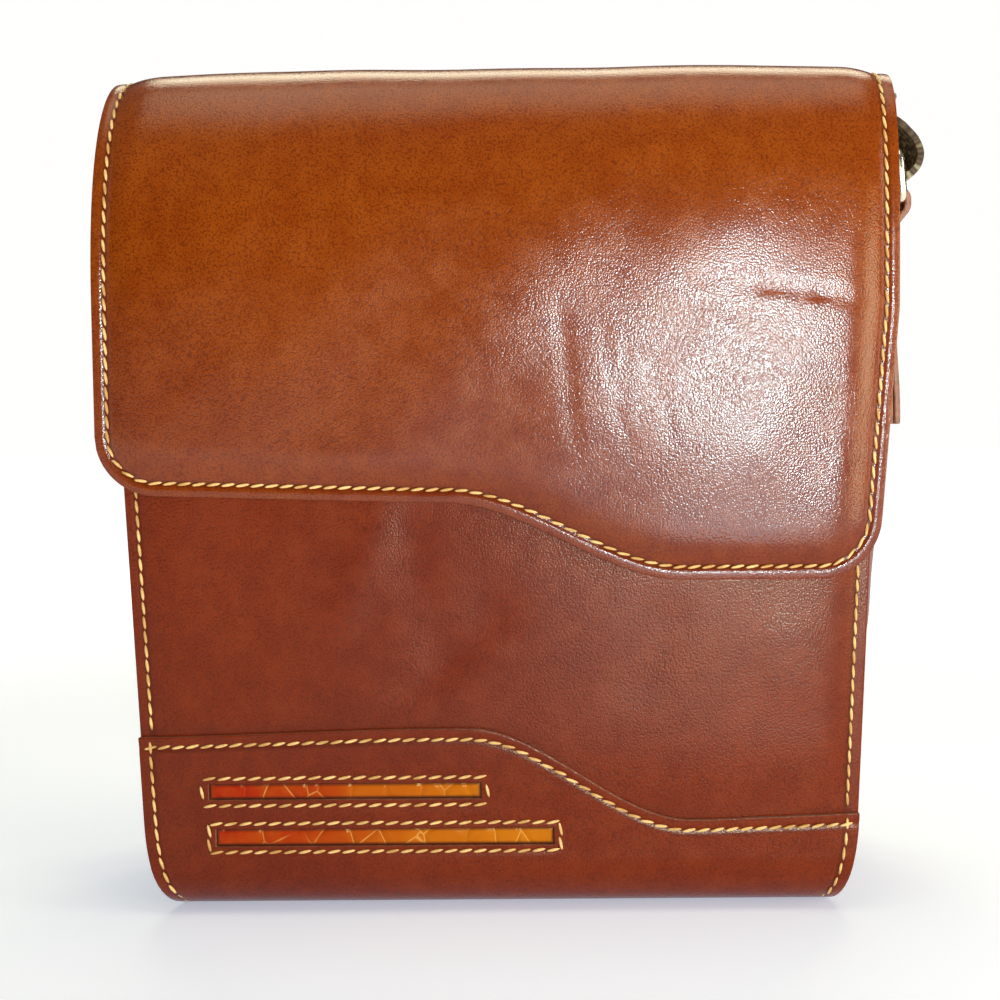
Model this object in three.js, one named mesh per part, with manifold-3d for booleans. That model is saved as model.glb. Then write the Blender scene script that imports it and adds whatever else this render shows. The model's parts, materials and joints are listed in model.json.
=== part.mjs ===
// A small leather shoulder bag with a padded flap, standing on its base.
// Millimetres, +Z up, front towards -Y, origin on the floor under the middle of the base.
import * as THREE from "three";
import { mergeVertices } from "three/addons/utils/BufferGeometryUtils.js";
import Module from "manifold-3d";

const wasm = await Module();
wasm.setup();

// Leather and clearances
const GAP = 0.3; // between pieces that touch or are sewn together
const WRAP_THICKNESS = 2.4;
const OVERLAY_THICKNESS = 1.6;
const GUSSET_THICKNESS = 1.6;
const FLAP_THICKNESS = 3; // at its sewn edge
const TAB_THICKNESS = 2;

// Body
const BODY_DEPTH = 69; // outside of the wrap, front to back
const BODY_HALF_WIDTH_BASE = 111.5;
const BODY_HALF_WIDTH_TOP = 121.5;
const BODY_CORNER_WIDTH = 10; // round lower corners, seen from the front
const BODY_CORNER_HEIGHT = 30;
const BODY_TOP = 232; // top edge of the front and of the gussets
const BACK_TOP = BODY_TOP - 6; // top edge of the back, inside the flap's tail
const BASE_RADIUS = 16; // outside of the wrap, where front and back turn into the base
const SEAM_INSET = 4; // stitch line to edge, all round
const CROWN_RUN = 12; // from the stitch line to the full height of a padded crown
const BODY_CROWN = 1.2;
const BODY_CROWN_FADE = 40; // height over which the front's crown dies out towards the base

// Overlay on the lower front, wrapped under the base
const OVERLAY_EDGE = {
  left: 59.8, leftRise: 0.03, leftEnd: -31,
  right: 30, rightRise: 0.035, rightStart: 65,
  middle: 24.5, run: 70,
};
const OVERLAY_WAVE_COLUMNS = 16; // steps of the mesh along the wave
const OVERLAY_BACK_HEIGHT = 30;
const UPPER_WINDOW = { left: -92.2, right: -6.2, bottom: 37.4, top: 42.8 };
const LOWER_WINDOW = { left: -90.4, right: 16.6, bottom: 22.4, top: 28.2 };
const INLAY_THICKNESS = 0.8;

// Gussets
const FLANGE_DEPTH = 6; // sewn edge turned outwards
const GUSSET_BULGE_LEFT = 12.5;
const GUSSET_BULGE_RIGHT = 15.5;
const GUSSET_BULGE_POWER = 3;
const GUSSET_BULGE_ROWS = [
  { height: 0, share: 0 }, { height: 0.2, share: 0.4 }, { height: 0.42, share: 0.74 },
  { height: 0.66, share: 0.92 }, { height: 0.84, share: 0.72 }, { height: 1, share: 0.68 },
];

// Flap
const FLAP_OVERHANG = 2.8; // past the top of the body at either side
const FLAP_RIGHT_DRAW_IN = 5; // its right side leans in by this much at the lower corner
const FLAP_EDGE = {
  left: 131, leftRise: -0.03, leftEnd: -20,
  right: 106.5, rightRise: 0, rightStart: 63,
  middle: 21.5, run: 77,
};
const FLAP_WAVE_COLUMNS = 12;
const FLAP_CORNER_LEFT = 18;
const FLAP_CORNER_RIGHT = 20.5;
const FLAP_ROOM = 1.7; // from the body's front to the flap's edge, over the body's crown
const FLAP_RISE = 35.6; // from the top of the body to the top of the flap's edge
const FLAP_FRONT_ROLL = 77; // height of the flap's roll in front, and behind
const FLAP_BACK_ROLL = 39;
const FLAP_TAIL = 28; // straight stretch sewn to the back
const FLAP_CROWN = 2.3;
const ROLL_POWER_LEFT = 2.3; // how square the front roll is at either end
const ROLL_POWER_RIGHT = 3.4;
const ROLL_POWER_BACK = 2.2;

// Rings, tabs and strap
const WIRE_RADIUS = 1.8;
const RING_DROP = 4; // from the top of the body to the middle of the lower bar
const RING_OPENING = 11; // height inside the wire
const RING_LEAN = 1.3; // the upper bar stands this much closer to the bag
const RING_CORNER = 3.4;
const RING_ROOM = 1.5; // between the strap's edge and the wire
const TAB_WIDTH = 18;
const TAB_NECK = 9; // height over which the tab closes below the ring
const TAB_LENGTH = 64.6; // sewn stretch below the neck
const STRAP_WIDTH = 20;
const STRAP_THICKNESS = 2.6;
const STRAP_LAP = 26; // sewn overlap past each ring
const STRAP_LAP_START = 12; // from the bar to the overlap
const STRAP_STEP = 6; // between cross-sections
const STRAP_LOOP_STEP = 2.5; // and round the rings
const STRAP_FALL_BEHIND = 27; // from the back of the body to the middle of the falling stretch
const STRAP_BEND = 30; // from the fall to where the strap lies flat
const STRAP_FLOOR_REACH = 165; // how far the loop on the floor reaches past the falling stretch

const LEATHER = { color: 0x7a2f12, roughness: 0.42, metalness: 0 };
const EDGE_LEATHER = { color: 0x6b2a12, roughness: 0.5, metalness: 0 };
const INLAY_LEATHER = { color: 0xd9660a, roughness: 0.3, metalness: 0 };
const METAL = { color: 0xd8d2bd, roughness: 0.25, metalness: 1 };
const WEBBING = { color: 0x3a2c20, roughness: 0.9, metalness: 0 };

const smooth = (t) => THREE.MathUtils.smoothstep(t, 0, 1);
const lerp = THREE.MathUtils.lerp;
// Evenly spaced values, both ends included.
const steps = (count, from = 0, to = 1) =>
  Array.from({ length: count + 1 }, (_, k) => lerp(from, to, k / count));

// Closed mesh from points and triangles, without collapsed triangles, its faces pointing out.
function closedGeometry(positions, triangles) {
  const loose = new THREE.BufferGeometry();
  loose.setAttribute("position", new THREE.Float32BufferAttribute(positions, 3));
  loose.setIndex(triangles);
  const merged = mergeVertices(loose, 1e-3);
  const { array } = merged.index;
  const corner = (k) => new THREE.Vector3().fromBufferAttribute(merged.attributes.position, k);
  const kept = [];
  let volume = 0;
  for (let k = 0; k < array.length; k += 3) {
    const [a, b, c] = array.slice(k, k + 3);
    if (a === b || b === c || c === a) continue;
    kept.push([a, b, c]);
    volume += corner(a).dot(corner(b).cross(corner(c)));
  }
  merged.setIndex(kept.flatMap((t) => (volume < 0 ? t.reverse() : t)));
  merged.computeVertexNormals();
  return merged;
}

// Solid sheet between two grids of points. place(column, row, side) gives a point of side 0 or 1.
function sheet(columns, rows, place) {
  const positions = [];
  const triangles = [];
  for (const side of [0, 1])
    for (let j = 0; j < rows; j++) for (let i = 0; i < columns; i++) positions.push(...place(i, j, side));
  const at = (i, j, side) => (side * rows + j) * columns + i;
  const last = columns - 1;
  const quad = (a, b, c, d) => triangles.push(a, b, c, a, c, d);
  for (let i = 0; i + 1 < columns; i++) {
    for (let j = 0; j + 1 < rows; j++) {
      quad(at(i, j, 0), at(i + 1, j, 0), at(i + 1, j + 1, 0), at(i, j + 1, 0));
      quad(at(i, j, 1), at(i, j + 1, 1), at(i + 1, j + 1, 1), at(i + 1, j, 1));
    }
    quad(at(i, 0, 0), at(i, 0, 1), at(i + 1, 0, 1), at(i + 1, 0, 0));
    quad(at(i, rows - 1, 0), at(i + 1, rows - 1, 0), at(i + 1, rows - 1, 1), at(i, rows - 1, 1));
  }
  for (let j = 0; j + 1 < rows; j++) {
    quad(at(0, j, 0), at(0, j + 1, 0), at(0, j + 1, 1), at(0, j, 1));
    quad(at(last, j, 0), at(last, j, 1), at(last, j + 1, 1), at(last, j + 1, 0));
  }
  return closedGeometry(positions, triangles);
}

// Flat band of even width and thickness along a list of { point, across } frames.
function band(frames, width, thickness) {
  const rows = frames.map(({ point, across }, k) => {
    const before = frames[Math.max(k - 1, 0)].point;
    const after = frames[Math.min(k + 1, frames.length - 1)].point;
    const along = after.clone().sub(before).normalize();
    const side = across.clone().addScaledVector(along, -across.dot(along)).normalize();
    return { point, side, normal: along.cross(side) };
  });
  return sheet(2, rows.length, (i, j, face) => {
    const { point, side, normal } = rows[j];
    return point.clone()
      .addScaledVector(side, (i - 0.5) * width)
      .addScaledVector(normal, (0.5 - face) * thickness);
  });
}

const asSolid = (geometry) =>
  new wasm.Manifold(new wasm.Mesh({
    numProp: 3,
    vertProperties: geometry.attributes.position.array,
    triVerts: new Uint32Array(geometry.index.array),
  }));

function asGeometry(solid) {
  const { numProp, numVert, vertProperties, triVerts } = solid.getMesh();
  const positions = [];
  for (let k = 0; k < numVert; k++) {
    positions.push(...vertProperties.subarray(k * numProp, k * numProp + 3));
  }
  return closedGeometry(positions, [...triVerts]);
}

// Smooth value from a table of { height, share } rows.
function fromRows(rows, height) {
  const k = THREE.MathUtils.clamp(rows.findIndex((row) => row.height >= height), 1, rows.length - 1);
  const [a, b] = [rows[k - 1], rows[k]];
  return lerp(a.share, b.share, smooth((height - a.height) / (b.height - a.height)));
}

// Height of an edge that steps down from left to right in one S-shaped wave.
function waveEdge(edge, x) {
  const wave = smooth((x - edge.middle) / edge.run + 0.5);
  const left = edge.left + edge.leftRise * (Math.min(x, edge.leftEnd) - edge.leftEnd);
  const right = edge.right + edge.rightRise * (Math.max(x, edge.rightStart) - edge.rightStart);
  return lerp(left, right, wave);
}

// Rise of a padded face at a distance from its edge.
const crownShare = (distance) => smooth((distance - SEAM_INSET) / CROWN_RUN);

const HALF_DEPTH = BODY_DEPTH / 2;
const WRAP_BASE = OVERLAY_THICKNESS + GAP; // underside of the wrap above the floor
const FRONT_FOOT = WRAP_BASE + BASE_RADIUS; // where the front turns into the base
const FLAP_HALF_WIDTH = BODY_HALF_WIDTH_TOP + FLAP_OVERHANG;
const FLAP_FRONT = HALF_DEPTH + FLAP_ROOM + FLAP_THICKNESS; // depth of the flap's outer face at its edge
const FLAP_TOP = BODY_TOP + FLAP_RISE;
const ROLL_FOOT = FLAP_TOP - FLAP_FRONT_ROLL;

// Half width of the body at a height, drawn in at its round lower corners.
function bodyHalfWidth(z) {
  const below = THREE.MathUtils.clamp(1 - z / BODY_CORNER_HEIGHT, 0, 1);
  const corner = BODY_CORNER_WIDTH * (1 - Math.sqrt(1 - below ** 2));
  return lerp(BODY_HALF_WIDTH_BASE, BODY_HALF_WIDTH_TOP, z / BODY_TOP) - corner;
}

// Depth of the flap's outer face in front at a height, for a roll of the given squareness.
function flapFrontDepth(z, power) {
  const t = Math.max(0, (z - ROLL_FOOT) / FLAP_FRONT_ROLL);
  return FLAP_FRONT * (1 - t ** power) ** (1 / power);
}

// The front of the body leans back near its top, inside the rounder end of the flap's roll.
const FRONT_LEAN_FACTOR = 1.12; // a slanting flap takes more depth than its thickness
const FLAP_DEPTH_TAKEN = FLAP_THICKNESS * FRONT_LEAN_FACTOR;
const FRONT_ROOM = 1.4; // between the slanting flap and the front
const frontDepth = (z) =>
  Math.min(HALF_DEPTH, flapFrontDepth(z, ROLL_POWER_LEFT) - FLAP_DEPTH_TAKEN - FRONT_ROOM);

// Outline of the wrap's outer face, from the top of the front round the base to the top of the back.
// inset moves it inwards. Each point is [y, z, normal y, normal z].
function wrapOutline(frontHeights, backHeights, inset = 0) {
  const points = frontHeights.map((z) => [-(frontDepth(z) - inset), z, -1, 0]);
  const radius = BASE_RADIUS - inset;
  const centreY = HALF_DEPTH - BASE_RADIUS;
  for (const side of [-1, 1]) {
    const from = side < 0 ? Math.PI : 1.5 * Math.PI;
    for (const a of steps(6, from, from + Math.PI / 2)) {
      const [c, s] = [Math.cos(a), Math.sin(a)];
      points.push([side * centreY + radius * c, FRONT_FOOT + radius * s, c, s]);
    }
  }
  return points.concat(backHeights.map((z) => [HALF_DEPTH - inset, z, 1, 0]));
}

// Rise of the front's padding above its seams.
function bodyCrown(x, z) {
  const fade = smooth((z - FRONT_FOOT) / BODY_CROWN_FADE);
  return BODY_CROWN * crownShare(bodyHalfWidth(z) - Math.abs(x)) * fade;
}

// Distances from an edge between which a crown rises.
const CROWN_STEPS = [0, SEAM_INSET, SEAM_INSET + CROWN_RUN / 2, SEAM_INSET + CROWN_RUN];

// Columns across the body, as shares of its half width, close together where the crown rises.
const rightColumns = CROWN_STEPS.map((d) => 1 - d / BODY_HALF_WIDTH_BASE);
const BODY_COLUMNS = [...rightColumns.map((u) => -u), 0, ...rightColumns.toReversed()];

// Columns close together along the wave of an edge, as shares of a half width.
const waveColumns = ({ middle, run }, count, halfWidth) =>
  steps(count, middle - run / 2, middle + run / 2).map((x) => x / halfWidth);

// Front, base and back in one sheet of leather.
function bodyWrap() {
  const crownFoot = steps(3, FRONT_FOOT + BODY_CROWN_FADE, FRONT_FOOT).slice(0, -1);
  const front = [...steps(4, BODY_TOP, ROLL_FOOT), ...crownFoot];
  const back = [BODY_CORNER_HEIGHT, BACK_TOP];
  const outer = wrapOutline(front, back);
  const inner = wrapOutline(front, back, WRAP_THICKNESS);
  return sheet(BODY_COLUMNS.length, outer.length, (i, j, side) => {
    const [y, z] = (side ? inner : outer)[j];
    const x = BODY_COLUMNS[i] * bodyHalfWidth(z);
    return new THREE.Vector3(x, side || y > 0 ? y : y - bodyCrown(x, z), z);
  });
}

// Leather sewn over the lower front and carried round the base, with a window for each inlay.
function frontOverlay() {
  const wave = waveColumns(OVERLAY_EDGE, OVERLAY_WAVE_COLUMNS, BODY_HALF_WIDTH_BASE);
  const sides = BODY_COLUMNS.filter((u) => u !== 0);
  const leftEnd = OVERLAY_EDGE.leftEnd / BODY_HALF_WIDTH_BASE;
  const columns = [...sides, leftEnd, ...wave].sort((a, b) => a - b);
  const frontRows = 3;
  const outline = wrapOutline(steps(frontRows).slice(1), [OVERLAY_BACK_HEIGHT]);
  const geometry = sheet(columns.length, outline.length, (i, j, side) => {
    let [y, z, ny, nz] = outline[j];
    const offset = side ? GAP : GAP + OVERLAY_THICKNESS;
    if (j < frontRows) {
      const edge = waveEdge(OVERLAY_EDGE, columns[i] * bodyHalfWidth(OVERLAY_EDGE.right));
      z = lerp(edge, FRONT_FOOT, j / frontRows);
      y = -frontDepth(z);
    }
    const x = columns[i] * bodyHalfWidth(z);
    const crown = y > 0 ? 0 : bodyCrown(x, z);
    return new THREE.Vector3(x, y - crown + ny * offset, z + nz * offset);
  });
  const cutters = [UPPER_WINDOW, LOWER_WINDOW].map((window) => asSolid(windowCutter(window)));
  return asGeometry(cutters.reduce((solid, cutter) => solid.subtract(cutter), asSolid(geometry)));
}

function windowCutter({ left, right, bottom, top }) {
  const box = new THREE.BoxGeometry(right - left, 4 * OVERLAY_THICKNESS, top - bottom);
  box.translate((left + right) / 2, -HALF_DEPTH - BODY_CROWN - OVERLAY_THICKNESS, (bottom + top) / 2);
  box.deleteAttribute("normal");
  box.deleteAttribute("uv");
  return mergeVertices(box);
}

// Strip of embossed leather that shows through a window, lying on the wrap.
function inlay({ left, right, bottom, top }) {
  const xs = steps(8, left + GAP, right - GAP);
  const zs = steps(1, bottom + GAP, top - GAP);
  return sheet(xs.length, zs.length, (i, j, side) => {
    const lift = side ? GAP : GAP + INLAY_THICKNESS;
    return new THREE.Vector3(xs[i], -frontDepth(zs[j]) - bodyCrown(xs[i], zs[j]) - lift, zs[j]);
  });
}

const LEFT = { name: "left", sideways: -1, bulge: GUSSET_BULGE_LEFT, slackness: 0 };
const RIGHT = { name: "right", sideways: 1, bulge: GUSSET_BULGE_RIGHT, slackness: 1 };

const RING_BAR_HEIGHT = BODY_TOP - RING_DROP;
const RING_HEIGHT = RING_OPENING + 2 * WIRE_RADIUS; // between the middles of the two bars
const UPPER_BAR_HEIGHT = RING_BAR_HEIGHT + RING_HEIGHT;
const TAB_TOP = RING_BAR_HEIGHT - TAB_NECK; // of its sewn stretch
const TAB_BOTTOM = TAB_TOP - TAB_LENGTH;

// Heights of the tab's sewn stretch. The gusset has rows at the same heights, so both bend together.
const TAB_HEIGHTS = steps(7, TAB_BOTTOM, TAB_TOP);

// Outer face of the gusset at a share of its depth (-1 front, 1 back) and a height.
function gussetFace(bulge, share, z) {
  const rise = bulge * fromRows(GUSSET_BULGE_ROWS, z / BODY_TOP);
  return bodyHalfWidth(z) - FLANGE_DEPTH + rise * (1 - Math.abs(share) ** GUSSET_BULGE_POWER);
}

// Side wall with its sewn edges turned outwards along the front, base and back.
function gusset({ sideways, bulge }) {
  const shares = [-1, ...steps(10, -1, 1), 1];
  const seat = WRAP_THICKNESS + GAP;
  const arc = steps(5, 0, Math.PI / 2);
  const heights = [...steps(4, FRONT_FOOT, TAB_BOTTOM).slice(1, -1), ...TAB_HEIGHTS, BODY_TOP];
  const rows = 2 + arc.length - 1 + heights.length;
  return sheet(shares.length, rows, (i, j, side) => {
    const inset = seat + (side ? 0 : GUSSET_THICKNESS);
    const radius = BASE_RADIUS - inset;
    const angle = arc[Math.max(j - 1, 0)];
    const onArc = angle !== undefined;
    const z = onArc ? FRONT_FOOT - radius * Math.cos(angle) : heights[j - 1 - arc.length];
    const front = onArc ? HALF_DEPTH - BASE_RADIUS + radius * Math.sin(angle) : frontDepth(z) - inset;
    const back = onArc ? front : HALF_DEPTH - inset;
    const y = lerp(-front, back, (shares[i] + 1) / 2);
    const seamZ = onArc ? FRONT_FOOT - BASE_RADIUS * Math.cos(angle) : z;
    const flangeEdge = j === 0 || i === 0 || i === shares.length - 1;
    const inner = side ? GUSSET_THICKNESS : 0;
    const x = flangeEdge ? bodyHalfWidth(seamZ) : gussetFace(bulge, shares[i], seamZ) - inner;
    return new THREE.Vector3(sideways * x, y, z);
  });
}

// Shares of the half width for the flap's columns: round corners, padding and the wave of its edge.
function flapColumns() {
  const corner = (radius) =>
    steps(5, 0, Math.PI / 2).map((a) => 1 - (radius * (1 - Math.cos(a))) / FLAP_HALF_WIDTH);
  const left = corner(FLAP_CORNER_LEFT).map((u) => -u);
  const wave = waveColumns(FLAP_EDGE, FLAP_WAVE_COLUMNS, FLAP_HALF_WIDTH);
  const middle = [-0.6, -0.35, 0.7];
  return [...left, ...corner(FLAP_CORNER_RIGHT), ...wave, ...middle].sort((a, b) => a - b);
}

// Half width of the flap on the side that share lies on.
function flapHalfWidth(share, z) {
  const reach = ROLL_FOOT - FLAP_EDGE.right - FLAP_CORNER_RIGHT;
  const drawn = share > 0 ? FLAP_RIGHT_DRAW_IN * THREE.MathUtils.clamp((ROLL_FOOT - z) / reach, 0, 1) : 0;
  return FLAP_HALF_WIDTH - drawn;
}

// Height of the flap's lower edge at a share of its half width, round corners included.
function flapEdge(share) {
  const radius = share < 0 ? FLAP_CORNER_LEFT : FLAP_CORNER_RIGHT;
  const fromCorner = Math.max(0, radius - (1 - Math.abs(share)) * FLAP_HALF_WIDTH);
  const corner = radius - Math.sqrt(radius ** 2 - fromCorner ** 2);
  return waveEdge(FLAP_EDGE, share * FLAP_HALF_WIDTH) + corner;
}

// Outline of the flap's outer face at a share of its half width, from its lower edge to its tail's end.
function flapOutline(share) {
  const power = lerp(ROLL_POWER_LEFT, ROLL_POWER_RIGHT, (share + 1) / 2);
  const edge = flapEdge(share);
  const points = CROWN_STEPS.map((d) => [-FLAP_FRONT, edge + d]);
  for (const a of steps(9, 0, Math.PI / 2)) {
    const [c, s] = [Math.cos(a) ** (2 / power), Math.sin(a) ** (2 / power)];
    points.push([-FLAP_FRONT * c, ROLL_FOOT + FLAP_FRONT_ROLL * s]);
  }
  const behind = HALF_DEPTH + GAP + FLAP_THICKNESS;
  for (const a of steps(7, Math.PI / 2, 0).slice(1)) {
    const [c, s] = [Math.cos(a) ** (2 / ROLL_POWER_BACK), Math.sin(a) ** (2 / ROLL_POWER_BACK)];
    points.push([behind * c, FLAP_TOP - FLAP_BACK_ROLL * (1 - s)]);
  }
  points.push([behind, FLAP_TOP - FLAP_BACK_ROLL - FLAP_TAIL]);
  return points;
}

// Padded flap, sewn to the back and closing over the front.
function flap() {
  const columns = flapColumns();
  const outlines = columns.map(flapOutline);
  const rows = outlines[0].length;
  return sheet(columns.length, rows, (i, j, side) => {
    const outline = outlines[i];
    const [y, z] = outline[j];
    const [beforeY, beforeZ] = outline[Math.max(j - 1, 0)];
    const [afterY, afterZ] = outline[Math.min(j + 1, rows - 1)];
    const length = Math.hypot(afterY - beforeY, afterZ - beforeZ);
    const [ny, nz] = [-(afterZ - beforeZ) / length, (afterY - beforeY) / length];
    const halfWidth = flapHalfWidth(columns[i], z);
    const sideRise = crownShare((1 - Math.abs(columns[i])) * halfWidth);
    const edgeRise = y < 0 ? crownShare(z - outline[0][1]) : 1 - smooth(y / HALF_DEPTH);
    const offset = side ? -FLAP_THICKNESS : FLAP_CROWN * sideRise * edgeRise;
    return new THREE.Vector3(columns[i] * halfWidth, y + ny * offset, z + nz * offset);
  });
}

// The lower bar lies in the fold of the tab, clear of the gusset's bulge.
const ringX = (bulge) => gussetFace(bulge, 0, RING_BAR_HEIGHT) + GAP + TAB_THICKNESS + GAP + WIRE_RADIUS;

// Round wire bent to a rounded rectangle that stands in the fold of the tab.
function ring({ sideways, bulge }) {
  const halfLength = STRAP_WIDTH / 2 + RING_ROOM + WIRE_RADIUS;
  const sides = 10;
  const centres = [
    { along: halfLength - RING_CORNER, up: RING_HEIGHT - RING_CORNER, from: 0 },
    { along: RING_CORNER - halfLength, up: RING_HEIGHT - RING_CORNER, from: 0.5 * Math.PI },
    { along: RING_CORNER - halfLength, up: RING_CORNER, from: Math.PI },
    { along: halfLength - RING_CORNER, up: RING_CORNER, from: 1.5 * Math.PI },
  ];
  const path = centres.flatMap(({ along, up, from }) =>
    steps(5, from, from + Math.PI / 2).map((a) => ({
      out: [Math.cos(a), Math.sin(a)],
      at: [along + RING_CORNER * Math.cos(a), up + RING_CORNER * Math.sin(a)],
    })));
  const positions = [];
  const triangles = [];
  path.forEach(({ out, at }, k) => {
    const next = (k + 1) % path.length;
    for (let s = 0; s < sides; s++) {
      const angle = (2 * Math.PI * s) / sides;
      const radial = WIRE_RADIUS * Math.cos(angle);
      const up = at[1] + radial * out[1];
      const x = ringX(bulge) - (RING_LEAN * up) / RING_HEIGHT + WIRE_RADIUS * Math.sin(angle);
      positions.push(sideways * x, at[0] + radial * out[0], RING_BAR_HEIGHT + up);
      const t = (s + 1) % sides;
      const [a, b, c, d] = [k * sides + s, next * sides + s, next * sides + t, k * sides + t];
      triangles.push(a, b, c, a, c, d);
    }
  });
  return closedGeometry(positions, triangles);
}

// Leather tab, folded over the ring's lower bar and sewn down the gusset.
function tab({ sideways, bulge }) {
  const fold = WIRE_RADIUS + GAP + TAB_THICKNESS / 2;
  const innerX = (z) => gussetFace(bulge, 0, z) + GAP + TAB_THICKNESS / 2;
  const outerX = (z) => innerX(z) + GAP + TAB_THICKNESS;
  const path = TAB_HEIGHTS.map((z) => [innerX(z), z]);
  for (const a of steps(10, Math.PI, 0)) {
    path.push([ringX(bulge) + fold * Math.cos(a), RING_BAR_HEIGHT + fold * Math.sin(a)]);
  }
  const neck = RING_BAR_HEIGHT - WIRE_RADIUS;
  for (const share of [0, 1 / 3, 2 / 3]) {
    const z = lerp(neck, TAB_TOP, share);
    path.push([lerp(ringX(bulge) + fold, outerX(z), smooth(share)), z]);
  }
  path.push(...TAB_HEIGHTS.map((z) => [outerX(z), z]).reverse());
  const across = new THREE.Vector3(0, 1, 0);
  const frames = path.map(([x, z]) => ({ point: new THREE.Vector3(sideways * x, 0, z), across }));
  return band(frames, TAB_WIDTH, TAB_THICKNESS);
}

// Loop of the strap round the ring's upper bar, from its inner leg under the bar to its outer leg.
// across and up are from the bar's middle, as shares of the strap's distance from it where it touches the
// wire; slack and sag move a loose loop out and down.
const STRAP_LOOP = [
  { across: -1.02, up: 1, slack: 0, sag: 0 }, { across: -1.02, up: 0, slack: 0, sag: 0 },
  { across: -0.85, up: -0.8, slack: 0.08, sag: 0.48 }, { across: 0, up: -1.32, slack: 0.74, sag: 0.85 },
  { across: 0.8, up: -1, slack: 1.22, sag: 0.32 }, { across: 1.03, up: 0, slack: 1.38, sag: 0 },
  { across: 1, up: 1, slack: 0.95, sag: -0.32 }, { across: 0.53, up: 1.96, slack: 0.32, sag: -0.64 },
];

// Strap from the ring up, back and down behind the bag.
// out: shares of a strap width outside the flap's side. back: shares of the depth from the ring to the fall.
// up: shares of the height from the floor to the upper bar. ax, ay, az: the strap's width direction.
const STRAP_FALL = [
  { out: 0.08, back: 0.03, up: 1.039, ax: 0, ay: 0.97, az: -0.2 },
  { out: 0.1, back: 0.12, up: 1.057, ax: -0.1, ay: 0.75, az: -0.65 },
  { out: 0.17, back: 0.27, up: 1.064, ax: -0.2, ay: 0.25, az: -0.95 },
  { out: 0.26, back: 0.44, up: 1.058, ax: -0.28, ay: -0.25, az: -0.93 },
  { out: 0.33, back: 0.58, up: 1.036, ax: -0.36, ay: -0.6, az: -0.7 },
  { out: 0.36, back: 0.69, up: 1.004, ax: -0.45, ay: -0.8, az: -0.4 },
  { out: 0.3, back: 0.79, up: 0.95, ax: -0.6, ay: -0.78, az: -0.15 },
  { out: 0.14, back: 0.89, up: 0.872, ax: -0.78, ay: -0.6, az: 0 },
  { out: -0.12, back: 1.0, up: 0.76, ax: -0.92, ay: -0.35, az: 0 },
  { out: -0.47, back: 1.07, up: 0.615, ax: -1, ay: -0.1, az: 0 },
  { out: -0.8, back: 1.08, up: 0.45, ax: -1, ay: 0, az: 0 },
  { out: -1.05, back: 1.06, up: 0.285, ax: -1, ay: 0, az: 0 },
  { out: -1.17, back: 1.07, up: 0.155, ax: -1, ay: 0, az: 0 },
  { out: -1.19, back: 1.13, up: 0.08, ax: -1, ay: 0, az: 0 },
  { out: -1.2, back: 1.26, up: 0.034, ax: -1, ay: 0, az: 0 },
  { out: -1.2, back: 1.42, up: 0.0125, ax: -1, ay: 0, az: 0 },
];

// Half of the loop on the floor: flat where it lands, on its edge where it turns.
function strapFloor() {
  const halfWidth = FLAP_HALF_WIDTH + STRAP_FALL.at(-1).out * STRAP_WIDTH;
  const start = HALF_DEPTH + STRAP_FALL_BEHIND + STRAP_BEND;
  const frames = [];
  for (const turn of steps(14, 0.02, 0.5)) {
    const angle = Math.PI * turn;
    const roll = 0.5 * Math.PI * smooth(turn / 0.34);
    const inward = new THREE.Vector3(-Math.cos(angle), -Math.sin(angle), 0);
    frames.push({
      point: new THREE.Vector3(
        halfWidth * Math.cos(angle) ** 0.7,
        start + STRAP_FLOOR_REACH * Math.sin(angle),
        (STRAP_WIDTH * Math.sin(roll) + STRAP_THICKNESS * Math.cos(roll)) / 2 + GAP,
      ),
      across: inward.multiplyScalar(Math.cos(roll)).add(new THREE.Vector3(0, 0, Math.sin(roll))),
    });
  }
  return frames;
}

// Even steps along smooth curves through the chosen frames.
function resample(frames, step) {
  const route = new THREE.CatmullRomCurve3(frames.map((f) => f.point), false, "centripetal");
  const widths = new THREE.CatmullRomCurve3(frames.map((f) => f.across), false, "catmullrom");
  const count = Math.round(route.getLength() / step);
  route.arcLengthDivisions = 20 * frames.length;
  return steps(count).map((u) => {
    const t = route.getUtoTmapping(u);
    return { point: route.getPoint(t), across: widths.getPoint(t) };
  });
}

// One half of the strap, from the lapped end at the ring to the middle of the loop on the floor.
function strapHalf({ bulge, slackness }) {
  const bar = new THREE.Vector3(ringX(bulge) - RING_LEAN, 0, UPPER_BAR_HEIGHT);
  const across = new THREE.Vector3(0, 1, 0);
  const touching = WIRE_RADIUS + GAP + STRAP_THICKNESS / 2;
  const loop = STRAP_LOOP.map(({ across: out, up, slack, sag }) => {
    const place = new THREE.Vector3(out + slackness * slack, 0, up - slackness * sag);
    return { point: bar.clone().addScaledVector(place, touching), across };
  }).reverse();
  const fall = STRAP_FALL.map((row) => ({
    point: new THREE.Vector3(
      FLAP_HALF_WIDTH + row.out * STRAP_WIDTH,
      row.back * (HALF_DEPTH + STRAP_FALL_BEHIND),
      row.up * UPPER_BAR_HEIGHT,
    ),
    across: new THREE.Vector3(row.ax, row.ay, row.az),
  }));
  const main = resample([...loop.slice(-2), ...fall, ...strapFloor()], STRAP_STEP);
  const first = Math.round(STRAP_LAP_START / STRAP_STEP);
  const last = Math.round((STRAP_LAP_START + STRAP_LAP) / STRAP_STEP);
  const lap = main.slice(first, last + 1).map(({ point, across: wide }, k) => {
    const along = main[first + k + 1].point.clone().sub(main[first + k - 1].point).normalize();
    const out = wide.clone().cross(along).normalize();
    return { point: point.clone().addScaledVector(out, STRAP_THICKNESS + GAP), across: wide };
  }).reverse();
  const turned = resample([...lap.slice(-2), ...loop.slice(0, -1)], STRAP_LOOP_STEP);
  return [...lap.slice(0, -2), ...turned, ...main];
}

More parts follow.
